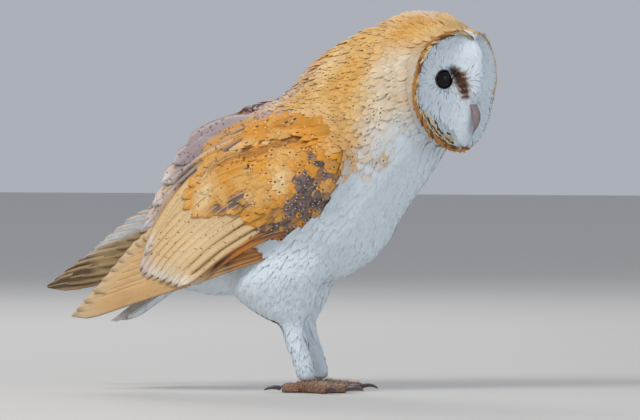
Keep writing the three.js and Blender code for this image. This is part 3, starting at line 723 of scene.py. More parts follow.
class Shader:
    """A material whose nodes are added by name and linked in order."""

    def __init__(self, name):
        self.material = bpy.data.materials.new(name)
        self.material.use_nodes = True
        self.tree = self.material.node_tree
        self.surface = self.tree.nodes["Principled BSDF"]

    def node(self, kind, **settings):
        return add_node(self.tree, kind, **settings)

    def link(self, source, target):
        self.tree.links.new(source, target)

    def feed(self, socket, value):
        if isinstance(value, bpy.types.NodeSocket):
            self.link(value, socket)
        else:
            socket.default_value = value

    def maths(self, operation, a, b=0.0, c=0.0, clamp=False):
        made = self.node("ShaderNodeMath", operation=operation, use_clamp=clamp)
        for socket, value in zip(made.inputs, (a, b, c)):
            self.feed(socket, value)
        return made.outputs[0]

    def times(self, a, b, clamp=False):
        return self.maths("MULTIPLY", a, b, clamp=clamp)

    def ramp(self, value, start, gain):
        """0 up to the start, then rising to 1."""
        return self.times(self.maths("SUBTRACT", value, start), gain, clamp=True)

    def pair(self, x, y):
        made = self.node("ShaderNodeCombineXYZ")
        self.link(x, made.inputs[0])
        self.link(y, made.inputs[1])
        return made.outputs[0]

    def vane(self, slope):
        """Ways across and along a feather, the distance off its shaft, and a slant along its barbs."""
        parts = self.node("ShaderNodeSeparateXYZ")
        self.link(self.node("ShaderNodeUVMap", uv_map="vane").outputs[0], parts.inputs[0])
        u, v = parts.outputs[0], parts.outputs[1]
        side = self.maths("ABSOLUTE", self.maths("SUBTRACT", u, 0.5))
        return u, v, side, self.maths("MULTIPLY_ADD", side, slope, v)

    def over(self, below, tone, share, strength):
        """A tone laid over a colour by a share."""
        return self.mixed(below, rgba(tone), self.times(share, strength))

    def shaded(self, tint, cloud, depth, middle=1.0):
        """A tint that is lighter and darker with a cloud."""
        shade = self.maths("MULTIPLY_ADD", self.maths("SUBTRACT", cloud, 0.5), depth, middle)
        grey = self.node("ShaderNodeCombineColor")
        for socket in grey.inputs[:3]:
            self.link(shade, socket)
        return self.mixed(tint, grey.outputs[0], 1.0, "MULTIPLY")

    def clouded(self, one, other, scale, detail=5.0):
        """A cloud, and the mixture of two tones by it."""
        cloud = self.noise(self.places(), scale, detail)
        return cloud, self.mixed(rgba(one), rgba(other), cloud)

    def paint(self, source):
        self.link(source, self.surface.inputs["Base Color"])

    def mixed(self, a, b, share, blend_type="MIX"):
        made = self.node("ShaderNodeMix", data_type="RGBA", blend_type=blend_type)
        self.feed(made.inputs[0], share)
        self.feed(made.inputs[6], a)
        self.feed(made.inputs[7], b)
        return made.outputs[2]

    def attribute(self, name, output):
        return self.node("ShaderNodeAttribute", attribute_name=name).outputs[output]

    def noise(self, vector, scale, detail=3.0):
        made = self.node("ShaderNodeTexNoise")
        made.inputs["Scale"].default_value = scale
        made.inputs["Detail"].default_value = detail
        self.feed(made.inputs["Vector"], vector)
        return made.outputs["Fac"]

    def places(self):
        return self.node("ShaderNodeTexCoord").outputs["Object"]

    def bump(self, height, strength, distance):
        made = self.node("ShaderNodeBump")
        made.inputs["Strength"].default_value = strength
        made.inputs["Distance"].default_value = distance
        self.feed(made.inputs["Height"], height)
        self.link(made.outputs[0], self.surface.inputs["Normal"])

    def values(self, **numbers):
        for key, value in numbers.items():
            self.surface.inputs[key.replace("_", " ")].default_value = value


def rgba(c):
    return (*[float(v) for v in c], 1.0)


def feather_material(name, spot_at=0.8, spot_size=0.12, streak=0.35, rough=0.75, barbs=26.0, relief=0.25):
    """Barbs that slant off the shaft, with a dark spot and a pale dot toward the tip."""
    s = Shader(name)
    u, v, side, slant = s.vane(-0.7)
    shift = s.node("ShaderNodeVectorMath", operation="MULTIPLY_ADD")
    s.link(s.places(), shift.inputs[0])
    shift.inputs[1].default_value = (60, 60, 60)
    s.link(s.pair(s.times(slant, barbs), s.times(u, 3.0)), shift.inputs[2])
    barb = s.noise(shift.outputs[0], 1.4, 4.0)
    body = s.shaded(s.attribute("tint", "Color"), barb, streak)
    body = s.over(body, colour(236, 214, 176), s.maths("LESS_THAN", side, 0.025), 0.25)
    mark = s.attribute("mark", "Fac")

    def dot(height, size, shown):
        rise = s.maths("DIVIDE", s.maths("SUBTRACT", v, height), size)
        run = s.maths("DIVIDE", side, size * 1.15)
        far = s.maths("ADD", s.times(rise, rise), s.times(run, run))
        disc = s.times(s.maths("SUBTRACT", 1.0, far, clamp=True), 3.0, clamp=True)
        return s.times(disc, shown)

    dark = dot(spot_at, spot_size, s.times(mark, 2.0, clamp=True))
    whole = s.maths("MULTIPLY_ADD", mark, 2.0, -1.0, clamp=True)
    light = dot(spot_at + spot_size * 1.25, spot_size * 0.6, whole)
    body = s.over(body, colour(46, 34, 32), dark, 0.95)
    s.paint(s.over(body, colour(244, 236, 230), light, 0.8))
    s.bump(barb, relief, 0.0004)
    s.values(Roughness=rough, Sheen_Weight=0.08, Sheen_Roughness=0.6)
    return s.material


def skin_material(name="owl_skin"):
    s = Shader(name)
    fine = s.noise(s.places(), 900.0, 5.0)
    s.paint(s.shaded(s.attribute("tint", "Color"), fine, 0.35, 0.96))
    s.bump(fine, 0.5, 0.0006)
    s.values(Roughness=0.9)
    return s.material


def eye_material():
    s = Shader("eye_gloss")
    s.paint(s.clouded(colour(5, 4, 7), colour(16, 11, 14), 260.0, 2.0)[1])
    s.values(Roughness=0.12, Specular_IOR_Level=0.16, Coat_Weight=0.2, Coat_Roughness=0.04)
    return s.material


def horn_material(name, base, edge, rough, grain):
    s = Shader(name)
    cloud, tone = s.clouded(base, edge, grain)
    s.paint(tone)
    s.bump(cloud, 0.3, 0.0003)
    s.values(Roughness=rough)
    return s.material


def toe_material():
    """Small scales with dark lines between them."""
    s = Shader("toe_skin")
    cells = s.node("ShaderNodeTexVoronoi", feature="DISTANCE_TO_EDGE")
    cells.inputs["Scale"].default_value = 700.0
    s.link(s.places(), cells.inputs["Vector"])
    scale = s.times(cells.outputs["Distance"], 5.0, clamp=True)
    _, tone = s.clouded(colour(200, 158, 126), colour(142, 98, 74), 160.0, 4.0)
    s.paint(s.mixed(rgba(colour(84, 52, 38)), tone, scale))
    s.bump(scale, 0.6, 0.0005)
    s.values(Roughness=0.62)
    return s.material


def quill_material(name, base, edge, bars, bar_share, speck_share, shaft=(206, 168, 112), cut=0.66):
    """Long feathers: a shaft, slanting barbs, faint bars, a coloured edge and a dark margin."""
    s = Shader(name)
    u, _, side, slant = s.vane(-0.16)
    barb = s.noise(s.pair(s.times(slant, 150.0), s.times(u, 1.5)), 1.0, 3.0)
    cloud = s.noise(s.places(), 90.0, 3.0)
    wave = s.maths("SINE", s.maths("MULTIPLY_ADD", cloud, 1.2, s.times(slant, bars)))
    speck = s.noise(s.places(), 430.0, 2.0)
    body = s.over(s.attribute("tint", "Color"), colour(*edge), s.ramp(side, 0.26, 6.0), 0.55)
    body = s.over(body, colour(120, 84, 48), s.ramp(side, 0.44, 20.0), 0.6)
    body = s.over(body, colour(*base), s.ramp(wave, 0.72, 5.0), bar_share)
    body = s.over(body, colour(70, 52, 44), s.ramp(speck, cut, 12.0), speck_share)
    body = s.over(body, colour(*shaft), s.maths("LESS_THAN", side, 0.035), 0.8)
    s.paint(s.shaded(body, barb, 0.3))
    s.bump(barb, 0.35, 0.0004)
    s.values(Roughness=0.6, Sheen_Weight=0.15)
    return s.material


# ------------------------------------------------------------------ long feathers
SHOULDER = (20.0, 180.0)
LIFT = {"right": 0.0, "left": math.radians(-6.3)}
OPEN = {"right": 0.0, "left": 0.09}  # how much further the primaries reach
LOWERED = {("tertials", "left"): 6.0}
STAND_OFF = (0.5, -1.0)  # of the first and last feather of a fan, so that they lie in order
OUTSIDE, INSIDE = 90, 40  # places beside the bird outside a wing and within it
FACING_UP = 0.12  # how far the feathers' outer faces turn up
EVENING_ROUNDS = 6

# The fans of one wing, in places of its side view: roots and tips from the first feather to
# the last, the number and width of the feathers, how far one edge tucks under the next
# feather, how far the shafts sag, the width at the tip, and how far they lie over the solid.
FANS = {
    "primaries": dict(
        count=10, width=14.0, tuck=-0.35, sag=1.5, opening=1, tip=0.9, over=0,
        roots=[(-60, 131), (-48, 115), (-34, 103)],
        tips=[(-130, 115), (-142, 106), (-153, 94), (-165, 80), (-178, 66), (-187, 56)],
    ),
    "secondaries": dict(
        count=12, width=11.0, tuck=-0.75, sag=7.0, opening=0, tip=0.8, over=0,
        roots=[(-62, 178), (-48, 160), (-34, 142), (-16, 122)],
        tips=[(-124, 108), (-129, 99), (-131, 91), (-126, 86), (-118, 84), (-110, 82),
              (-101, 80), (-91, 80)],
    ),
    "greater": dict(
        count=13, width=10.5, tuck=-0.5, sag=3.0, opening=0, tip=0.9, over=1.5,
        roots=[(-60, 176), (-47, 160), (-34, 145), (-18, 131)],
        tips=[(-82, 169), (-92, 157), (-99, 142), (-89, 131), (-73, 133), (-57, 134),
              (-47, 128), (-36, 122)],
    ),
    "median": dict(
        count=12, width=10.0, tuck=-0.4, sag=2.0, opening=0, tip=0.9, over=2.3,
        roots=[(-52, 178), (-38, 164), (-26, 150), (-12, 136)],
        tips=[(-70, 171), (-79, 160), (-84, 148), (-74, 141), (-60, 143), (-46, 141),
              (-37, 134), (-27, 127)],
    ),
    "tertials": dict(
        count=5, width=15.0, tuck=-0.5, sag=3.0, opening=0, tip=0.85, over=0,
        roots=[(-42, 205), (-48, 197), (-56, 184)],
        tips=[(-98, 184), (-111, 166), (-120, 146), (-130, 122)],
    ),
}


def wing_turned(x, z, side):
    """A place of the wing's side view, turned about the shoulder."""
    angle = LIFT[side]
    dx, dz = x - SHOULDER[0], z - SHOULDER[1]
    return (SHOULDER[0] + dx * math.cos(angle) - dz * math.sin(angle),
            SHOULDER[1] + dx * math.sin(angle) + dz * math.cos(angle))


class Quills:
    """Long feathers, each a closed shell, gathered into one mesh."""

    ROWS = 18
    COLUMNS = 3
    THICK = 0.28 * MM
    NARROW = 0.45  # share of the width at the root
    TIP_FROM = 0.9  # where the tip starts
    CURL = 0.05  # how far the edges fall, in widths
    POINT = 0.22  # how far the edges stay back at the tip, in widths
    BORDER = 0.04  # free edge round each feather on the flat map

    def __init__(self):
        self.points, self.faces, self.local, self.tints = [], [], [], []

    def add(self, line, out, width, tint, tip_tint, tuck, tip_point):
        """One feather along its shaft line; out points away from the body."""
        rows, wide = len(line), 2 * self.COLUMNS + 1
        s = np.linspace(0, 1, rows)
        j = np.linspace(-1, 1, wide)
        shape = np.minimum(1, self.NARROW + 1.6 * s)
        shape = shape * np.sqrt(np.clip(1 - ((s - 0.5) / 0.5).clip(0) ** 10, 0.1, 1))
        in_tip = (s - self.TIP_FROM) / (1 - self.TIP_FROM)
        shape = shape * mix(1, tip_point, np.maximum(in_tip, 0))
        along = unit(np.gradient(line, axis=0))
        across = unit(np.cross(out, along))
        reach = width * MM * shape[:, None] * j / 2
        lift = (-(j**2) * width * self.CURL * MM + tuck * MM * j)[None]
        grid = line[:, None] + scaled(across, reach) + scaled(out, lift)
        grid += scaled(along, -(j**2) * width * self.POINT * MM * (s**6)[:, None])
        thick = self.THICK * (1.3 - 0.8 * np.abs(j)) * mix(1.3, 0.6, s)[:, None]
        shaft = (np.abs(j) < 0.01) * mix(0.5, 0.12, s)[:, None] * MM
        top = grid + scaled(out, thick / 2 + shaft)
        low = grid - scaled(out, thick / 2)
        start = sum(len(p) for p in self.points)
        self.points.append(np.concatenate((top.reshape(-1, 3), low.reshape(-1, 3))))
        size = rows * wide
        for r in range(rows - 1):
            for c in range(wide - 1):
                a = start + r * wide + c
                self.faces.append((a, a + 1, a + 1 + wide, a + wide))
                self.faces.append((a + size, a + wide + size, a + 1 + wide + size, a + 1 + size))
        ring = ([(0, c) for c in range(wide)] + [(r, wide - 1) for r in range(1, rows)]
                + [(rows - 1, c) for c in range(wide - 2, -1, -1)]
                + [(r, 0) for r in range(rows - 2, 0, -1)])
        for (r0, c0), (r1, c1) in zip(ring, ring[1:] + ring[:1]):
            a, b = start + r0 * wide + c0, start + r1 * wide + c1
            self.faces.append((b, a, a + size, b + size))
        u, v = np.meshgrid((j + 1) / 2, s)
        local = np.stack((u, v), axis=-1).reshape(-1, 2)
        self.local.append(np.concatenate((local, local)))
        row_tint = blend(tint, tip_tint, smooth((s - 0.8) / 0.2))
        self.tints.append(np.tile(np.repeat(row_tint, wide, axis=0), (2, 1)))

    def build(self, name, material, shade=None):
        piece = make_object(name, np.concatenate(self.points), self.faces, material)
        rows = math.ceil(math.sqrt(len(self.local)))
        flat = []
        for k, local in enumerate(self.local):
            cell = np.array((k % rows, k // rows))
            flat.append((cell + self.BORDER + (1 - 2 * self.BORDER) * local) / rows)
        give_map(piece.data, "OFBake", np.concatenate(flat))
        give_map(piece.data, "vane", np.concatenate(self.local))
        tints = np.concatenate(self.tints)
        if shade:
            tints = shade(*on_bird(np.concatenate(self.points)).T, tints)
        give_colours(piece.data, "tint", np.clip(tints, 0, 1))
        face_outward(piece.data)
        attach(piece, "root")
        return piece


def wing_fan(kind, side, look_of):
    """The long feathers of one fan, lying on the outer face of their solid."""
    fan = FANS[kind]
    sign = SIDES[side]
    under = f"secondaries_{side}" if fan["over"] else f"{kind}_{side}"
    solid = tree_of(*node_arrays([under])[:2])
    low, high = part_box(under)
    lowered = LOWERED.get((kind, side), 0.0)
    gather = Quills()
    draw = np.random.default_rng(11)
    shares = np.linspace(0, 1, fan["count"])
    roots, tips = through(fan["roots"], shares), through(fan["tips"], shares)
    tips = roots + (tips - roots) * (1 + fan["opening"] * OPEN[side])
    for k in range(fan["count"]):
        s = np.linspace(0, 1, Quills.ROWS)
        flat = roots[k] + (tips[k] - roots[k]) * s[:, None]
        run = unit(tips[k] - roots[k])
        bow = fan["sag"] * np.sin(math.pi * s**0.85)
        flat = flat + np.array((run[1], -run[0])) * bow[:, None] * (1 if run[0] < 0 else -1)
        line = np.empty((Quills.ROWS, 3))
        for row in range(Quills.ROWS):
            x, z = wing_turned(*flat[row], side)
            z -= lowered
            probe = place(x, sign * OUTSIDE, z)
            probe[2] = np.clip(probe[2], low[2] + MM, high[2] - MM)
            hit = solid.ray_cast(Vector(probe), Vector((0, -sign, 0)))[0]
            if hit is None:
                hit = solid.find_nearest(Vector(place(x, sign * INSIDE, z)))[0]
            line[row] = place(x, 0, z)
            line[row, 1] = hit[1]
        for _ in range(EVENING_ROUNDS):
            line[1:-1, 1] = (line[:-2, 1] + line[1:-1, 1] + line[2:, 1]) / 3
        line[:, 1] += sign * (mix(*STAND_OFF, shares[k]) + fan["over"] * mix(0.4, 1, s)) * MM
        out = square_to(np.array((0.0, sign, FACING_UP)), unit(np.gradient(line, axis=0)))
        root_tint, tip_tint = look_of(shares[k], draw)
        width = fan["width"] * draw.uniform(0.94, 1.06)
        gather.add(line, out, width, root_tint, tip_tint, fan["tuck"] * sign, fan["tip"])
    return gather


# ------------------------------------------------------------------ settings
class OwlCoat(bpy.types.PropertyGroup):
    """Sizes of the small feathers."""

    spacing: bpy.props.FloatProperty(
        name="Feather spacing", description="Distance between the roots of body feathers",
        default=3.9 * MM, min=2 * MM, subtype="DISTANCE", unit="LENGTH")
    face_spacing: bpy.props.FloatProperty(
        name="Face spacing", description="Distance between the roots of the face's feathers",
        default=1.5 * MM, min=0.8 * MM, subtype="DISTANCE", unit="LENGTH")


class OwlView(bpy.types.PropertyGroup):
    """Where the bird is seen from."""

    azimuth: bpy.props.FloatProperty(
        name="Azimuth", description="Turn of the camera round the bird",
        default=math.radians(12), subtype="ANGLE", unit="ROTATION")
    elevation: bpy.props.FloatProperty(
        name="Elevation", description="Height of the camera over the level line",
        default=math.radians(1.5), subtype="ANGLE", unit="ROTATION")
    frame_width: bpy.props.FloatProperty(
        name="Frame width", description="Width of the picture at the bird",
        default=0.48, subtype="DISTANCE", unit="LENGTH")


@functools.cache
def skin():
    """The skin and its flat map, made once."""
    body = Skin()
    body.unwrap = Unwrap()
    return body


def per_root(value, points):
    """A number for each root, from one number or a function of the roots."""
    return np.asarray(value(points) if callable(value) else np.full(len(points), value))


def lay(name, allowed, spacing, length, width, tip_height, material, *, seed, rows=4, columns=2,
        ragged=0.0, camber=0.16, shape=(0.35, 0.8, 1.0, 0.9, 0.35), spread=0.12, rise_power=0.75,
        keep_heading=0.35, shade=(0.82, 1.06), soft=0.45, painted=False):
    """A coat of one kind of feather on part of the skin."""
    body = skin()
    faces, points = scatter(body, allowed, spacing, seed)
    count = len(points)
    draw = np.random.default_rng(seed + 50)
    size = per_root(length, points) * draw.uniform(0.85, 1.15, count) * MM
    broad = per_root(width, points) * draw.uniform(0.85, 1.15, count) * MM
    line, ups = follow(body, faces, points, size, rows, keep_heading, spread, seed)
    steps = np.linspace(0, 1, rows + 1)
    rise = per_root(tip_height, points)[:, None] * steps**rise_power
    heights = (0.15 + rise * draw.uniform(0.84, 1.14, (count, 1))) * MM
    vanes = Vanes(line, ups, broad, heights, shape, camber, ragged, columns, seed, soft)
    kinds = np.full(count, "facial_disc") if painted else body.face_kind[faces]
    tints, marks = plumage(points, kinds, seed)
    across = np.repeat(tints[:, None, :], rows + 1, axis=1)
    if painted:  # the colour of the place under each row, not that of the root
        for row in range(rows + 1):
            across[:, row] = plumage(line[:, row], kinds, seed)[0]
    # Painted shade: rows darker toward the root, which the feathers above cover, by the shares in shade; a
    # share over 1 paints the tip lighter.
    light = mix(shade[0], shade[1], steps**0.7)
    row_tints = np.clip(across * light[:, None], 0, 1)
    return vanes.build(name, material, row_tints, marks, body.unwrap.roots(points))


# ------------------------------------------------------------------ pieces
FLUFF = dict(spot_size=0.05, streak=0.08, rough=0.95, barbs=9.0, relief=0.05)  # downy material
PALE = dict(camber=0.03, shade=(0.98, 1.0))  # flat feathers, hardly shaded at the root


class OWL_OT_skin(bpy.types.Operator):
    """One skin over all the flesh, under the feathers"""

    bl_idname = "owl.skin"
    bl_label = "Skin"

    def execute(self, context):
        body = skin()
        piece = make_object("owl_skin", body.points, body.quads, skin_material())
        tints, _ = plumage(body.points, body.kind, 1)
        give_colours(piece.data, "tint", tints * 0.85)
        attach(piece, "root")
        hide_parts(*FLESH)
        return {"FINISHED"}


class OWL_OT_body_feathers(bpy.types.Operator):
    """Feathers of the crown, neck, back, breast and belly"""

    bl_idname = "owl.body_feathers"
    bl_label = "Body feathers"

    BREAST_UP = 130  # height from which the underparts count as breast
    PALE_BLUE = 0.72  # share of blue to red from which a place counts as white

    def execute(self, context):
        body = skin()
        spacing = context.scene.owl_coat.spacing
        look = feather_material("body_feather", spot_size=0.085)
        fluff = feather_material("fluffy_feather", **FLUFF)
        high = on_bird(body.middle)[:, 2] > self.BREAST_UP
        tint, _ = plumage(body.middle, body.face_kind, 1)
        pale = tint[:, 2] / tint[:, 0] > self.PALE_BLUE
        trunk = np.isin(body.face_kind, ("trunk", "neck"))
        forward, left, up = in_head(body.middle).T
        out = face_out(left, up)
        rim_out = out > 0.96
        behind = (forward < 20) & ~((out < 0.6) & (forward > -5))
        head = (body.face_kind == "head") & (rim_out | behind)
        head |= (body.face_kind == "facial_disc") & rim_out
        lay("coat_crown", head, spacing * 0.56, 9.0, 3.6, self.over_nape, look,
            seed=21, ragged=0.08, camber=0.1, soft=0.6)
        lay("coat_back", trunk & ~pale, spacing * 0.75, 14, 6.2, self.over_neck, look,
            seed=22, ragged=0.08, camber=0.1, soft=0.55)
        lay("coat_breast", trunk & pale & high, spacing * 0.6, 19, 4.6, self.by_wing(1.6), fluff,
            seed=23, ragged=0.06, spread=0.09, rise_power=0.4, soft=0.62, **PALE)
        lay("coat_belly", trunk & pale & ~high, spacing * 0.62, 21, 5.0, self.by_wing(1.9), fluff,
            seed=24, ragged=0.08, spread=0.11, rise_power=0.45, soft=0.62, **PALE)
        return {"FINISHED"}

    @staticmethod
    def by_wing(height):
        """Feathers of this height, which stand up further beside the wing and cover its edge."""
        body = skin()
        wing = body.middle[body.face_kind == "wing"]
        tree = KDTree(len(wing))
        for number, spot in enumerate(wing):
            tree.insert(spot, number)
        tree.balance()

        def tip_height(points):
            away = np.array([tree.find(spot)[2] for spot in points]) / MM
            return height + 1.5 * bell(away / 12)

        return tip_height

    @staticmethod
    def over_neck(points):
        """How far the tips on the back stand up: most behind the neck."""
        forward, _, up = in_head(points).T
        return 2.8 + 3.0 * bell((forward + 56) / 18) * smooth((up + 2) / 14)

    @staticmethod
    def over_nape(points):
        """How far the feather tips of the head stand up: most behind the crown."""
        forward, _, up = in_head(points).T
        behind = 2.8 * bell((forward + 38) / 16) * smooth((up - 18) / 14)
        return 2.0 + behind + 2.4 * smooth((up - 36) / 8) * smooth((34 - forward) / 12)


class OWL_OT_leg_feathers(bpy.types.Operator):
    """Soft feathers of the thighs and the short ones down to the toes"""

    bl_idname = "owl.leg_feathers"
    bl_label = "Leg feathers"

    def execute(self, context):
        body = skin()
        spacing = context.scene.owl_coat.spacing
        fluff = feather_material("leg_feather", **FLUFF)
        lay("coat_thighs", body.face_kind == "thigh", spacing * 0.6, lambda p: 19 + 2 * self.hanging(p),
            4.6, lambda p: 1.8 + 0.4 * self.hanging(p), fluff, seed=31, ragged=0.12, spread=0.14,
            rise_power=0.5, soft=0.12, **PALE)
        lay("coat_shanks", body.face_kind == "tarsus", spacing * 0.4, 9, 2.4, 1.2, fluff,
            seed=32, ragged=0.2, rise_power=0.5, soft=0.62, **PALE)
        return {"FINISHED"}

    @staticmethod
    def hanging(points):
        """Share by which the thigh feathers hang loose: most at the lower back."""
        x, _, z = on_bird(points).T
        out = -0.67 * (x + 66) - 0.74 * (z - 85)
        return smooth((out + 14) / 14)


class OWL_OT_wing_feathers(bpy.types.Operator):
    """Coverts and shoulder feathers"""

    bl_idname = "owl.wing_feathers"
    bl_label = "Wing coverts"

    def execute(self, context):
        body = skin()
        spacing = context.scene.owl_coat.spacing
        look = feather_material("covert_feather", spot_at=0.78, spot_size=0.1)
        y = on_bird(body.middle)[:, 1]
        for side, sign in SIDES.items():
            wing, shoulder = ((body.face_kind == kind) & (y * sign > 0) for kind in ("wing", "scapulars"))
            lay(f"coat_wing_{side}", wing, spacing * 0.78, self.longer_behind, 6.8, 2.2, look,
                seed=41 + sign, spread=0.07, ragged=0.08, camber=0.1, soft=0.5)
            lay(f"coat_shoulder_{side}", shoulder, spacing * 0.82, 17, 7.4, self.over_crease, look,
                seed=44 + sign, spread=0.07, ragged=0.08, camber=0.1, soft=0.4)
        return {"FINISHED"}

    @staticmethod
    def longer_behind(points):
        """Coverts grow longer toward the tail."""
        return 11 + 9 * smooth((10 - on_bird(points)[:, 0]) / 90)

    @staticmethod
    def over_crease(points):
        """The lowest shoulder feathers stand out over the crease below them."""
        x, _, z = on_bird(points).T
        return 2.4 + 3.6 * bell((z - np.interp(x, *CREASE) - 3) / 5)


class OWL_OT_face_feathers(bpy.types.Operator):
    """Fine feathers that spread from the eyes, and the stiff ruff round them"""

    bl_idname = "owl.face_feathers"
    bl_label = "Face feathers"

    DARK, BROWN, RIM_ORANGE = colour(74, 54, 36), colour(116, 76, 38), colour(200, 138, 58)
    FLAX = colour(228, 212, 176)
    # Rows of the ruff: reach out to the rim, number all round, dark share, pale colour, dark
    # colour, length, and whether the row stays low.
    RUFF_ROWS = (
        (0.76, 230, 0.4, WHITE, DARK, 8, True), (0.8, 250, 0.45, FLAX, DARK, 8, True),
        (0.84, 260, 0.55, FLAX, DARK, 8, True), (0.875, 270, 0.5, FLAX, DARK, 8, True),
        (0.905, 280, 0.45, FLAX, DARK, 7.5, True), (0.93, 300, 0.5, FLAX, BROWN, 7, False),
        (0.95, 320, 0.35, RIM_ORANGE, BROWN, 6.5, False),
        (0.975, 320, 0.1, RIM_ORANGE, BROWN, 6.0, False),
    )
    RUFF_WIDTH = 1.15 * MM
    FURTHER = 1.06  # where the way outward is measured to
    LOW = 1.06  # a reach over 1 marks feathers that lie low
    FAR_EDGE = 0.965  # where the ruff stands on the far side
    NEAR_EYE = 7.2 * MM  # no feathers closer to an eye's middle

    def execute(self, context):
        body = skin()
        spacing = context.scene.owl_coat.face_spacing
        look = feather_material("face_feather", streak=0.08, rough=0.95, barbs=8.0, relief=0.05)
        forward, left, up = in_head(body.middle).T
        out = face_out(left, up)
        front = (body.face_kind == "facial_disc") | ((body.face_kind == "head") & (forward > 20))
        near_eye = np.minimum(*[np.linalg.norm(body.middle - e, axis=1) for e in EYES.values()])
        turn = np.abs(np.arctan2(left, up - FACE_MIDDLE_UP))
        low = smooth((turn - 1.75) / 0.4) * smooth((3.0 - turn) / 0.25)
        for side, sign in SIDES.items():
            reach = 0.8 - 0.22 * low if side == "right" else 0.9
            mine = front & (left * sign > 0) & (out < reach) & (near_eye > self.NEAR_EYE)
            lay(f"coat_face_{side}", mine, spacing * 0.9, self.shorter_inside, 1.7, 0.8, look,
                seed=51 + sign, rows=3, columns=1, ragged=0.1, camber=0.02, shape=(0.7, 1.0, 0.85, 0.3),
                spread=0.06, keep_heading=0.8, shade=(0.99, 1.0), rise_power=0.5, soft=0.8, painted=True)
        self.ruff()
        return {"FINISHED"}

    @staticmethod
    def shorter_inside(points):
        """Feathers between the eyes are shorter than those of the open disc."""
        _, left, up = in_head(points).T
        return 8.0 - 3.4 * bell((np.abs(left) - 9) / 7, (up + 4) / 14)

    def ruff_row(self, draw, reach, count, share, pale, deep, length, stays_low):
        """Roots, ways, normals, colours, lengths and reach of one row of the ruff."""
        angle = np.linspace(0, 2 * math.pi, count, endpoint=False)
        angle = angle + draw.normal(scale=0.012, size=count)
        turn = np.abs((angle + math.pi) % (2 * math.pi) - math.pi)  # 0 at the notch, pi at the chin
        lower = smooth((turn - 1.7) / 0.5) * smooth((3.0 - turn) / 0.25)
        # On the far side the ruff is a narrow edge behind the white of the disc.
        far = np.sin(angle) > 0
        kept = np.where(far, (not stays_low) & (turn > 0.25), (lower > 0.5) | (not stays_low))
        angle, lower, far = angle[kept], lower[kept], far[kept]
        number = len(angle)
        out = np.where(far, self.FAR_EDGE, reach) + 0.008 * draw.normal(size=number)
        edge_left, edge_up = rim(angle)
        left = edge_left * out
        rise = (edge_up - FACE_MIDDLE_UP) * out
        up = FACE_MIDDLE_UP + rise
        ahead = face_ahead(left, up, out)
        root = from_head(ahead - COAT_DEPTH["facial_disc"], left, up)
        later_left, later_up = rim(angle + np.where(np.sin(angle) >= 0, 0.05, -0.05))
        run = unit(from_head(0, later_left, later_up) - from_head(0, edge_left, edge_up))
        far_left, far_up = left * self.FURTHER, FACE_MIDDLE_UP + rise * self.FURTHER
        further = from_head(face_ahead(far_left, far_up, out), far_left, far_up)
        outward = unit(further - from_head(ahead, left, up))
        way = unit(outward + run * mix(3.2, 4.2, lower)[:, None])
        normal = square_to(AHEAD + 0.35 * outward, way)
        is_dark = np.repeat(draw.uniform(size=number // 4 + 1), 4)[:number] < share
        tint = np.where(is_dark[:, None], deep, pale) * draw.uniform(0.85, 1.12, (number, 1))
        tint = blend(tint, colour(226, 208, 190), 0.65 * far)
        return root, way, normal, tint, np.full(number, length), np.where(far, self.LOW, reach)

    def ruff(self):
        """Rows of small stiff feathers along the rim, flecked inside and orange outside."""
        draw = np.random.default_rng(61)
        parts = [self.ruff_row(draw, *row) for row in self.RUFF_ROWS]
        points, ways, ups, tints, sizes, outs = map(np.concatenate, zip(*parts))
        sizes = sizes * draw.uniform(0.85, 1.2, len(points))
        # Painted shade: each ruff feather darker at its root and a little at its tip.
        shade = np.array((0.8, 0.95, 1.0, 1.0, 0.95))
        steps = np.linspace(0, 1, len(shade))
        line = points[:, None] + scaled(ways, sizes[:, None] * steps) * MM
        normals = np.repeat(ups[:, None], len(shade), axis=1)
        fall = smooth((outs - 0.86) / 0.1)[:, None] * 2.2
        low = np.where(outs > 1, 1.7, 0)[:, None]
        heights = (1.5 - low + 1.1 * steps**0.7 - fall * steps**2.5) * MM
        vanes = Vanes(line, normals, np.full(len(points), self.RUFF_WIDTH), heights,
                      shape=(0.6, 0.95, 1.0, 0.8, 0.2), camber=0.12, ragged=0.0, columns=1, seed=62)
        look = feather_material("ruff_feather", streak=0.3, rough=0.7, barbs=12.0)
        row_tints = np.clip(tints[:, None] * shade[:, None], 0, 1)
        places = skin().unwrap.roots(points)
        piece = vanes.build("coat_ruff", look, row_tints, np.zeros(len(points)), places)


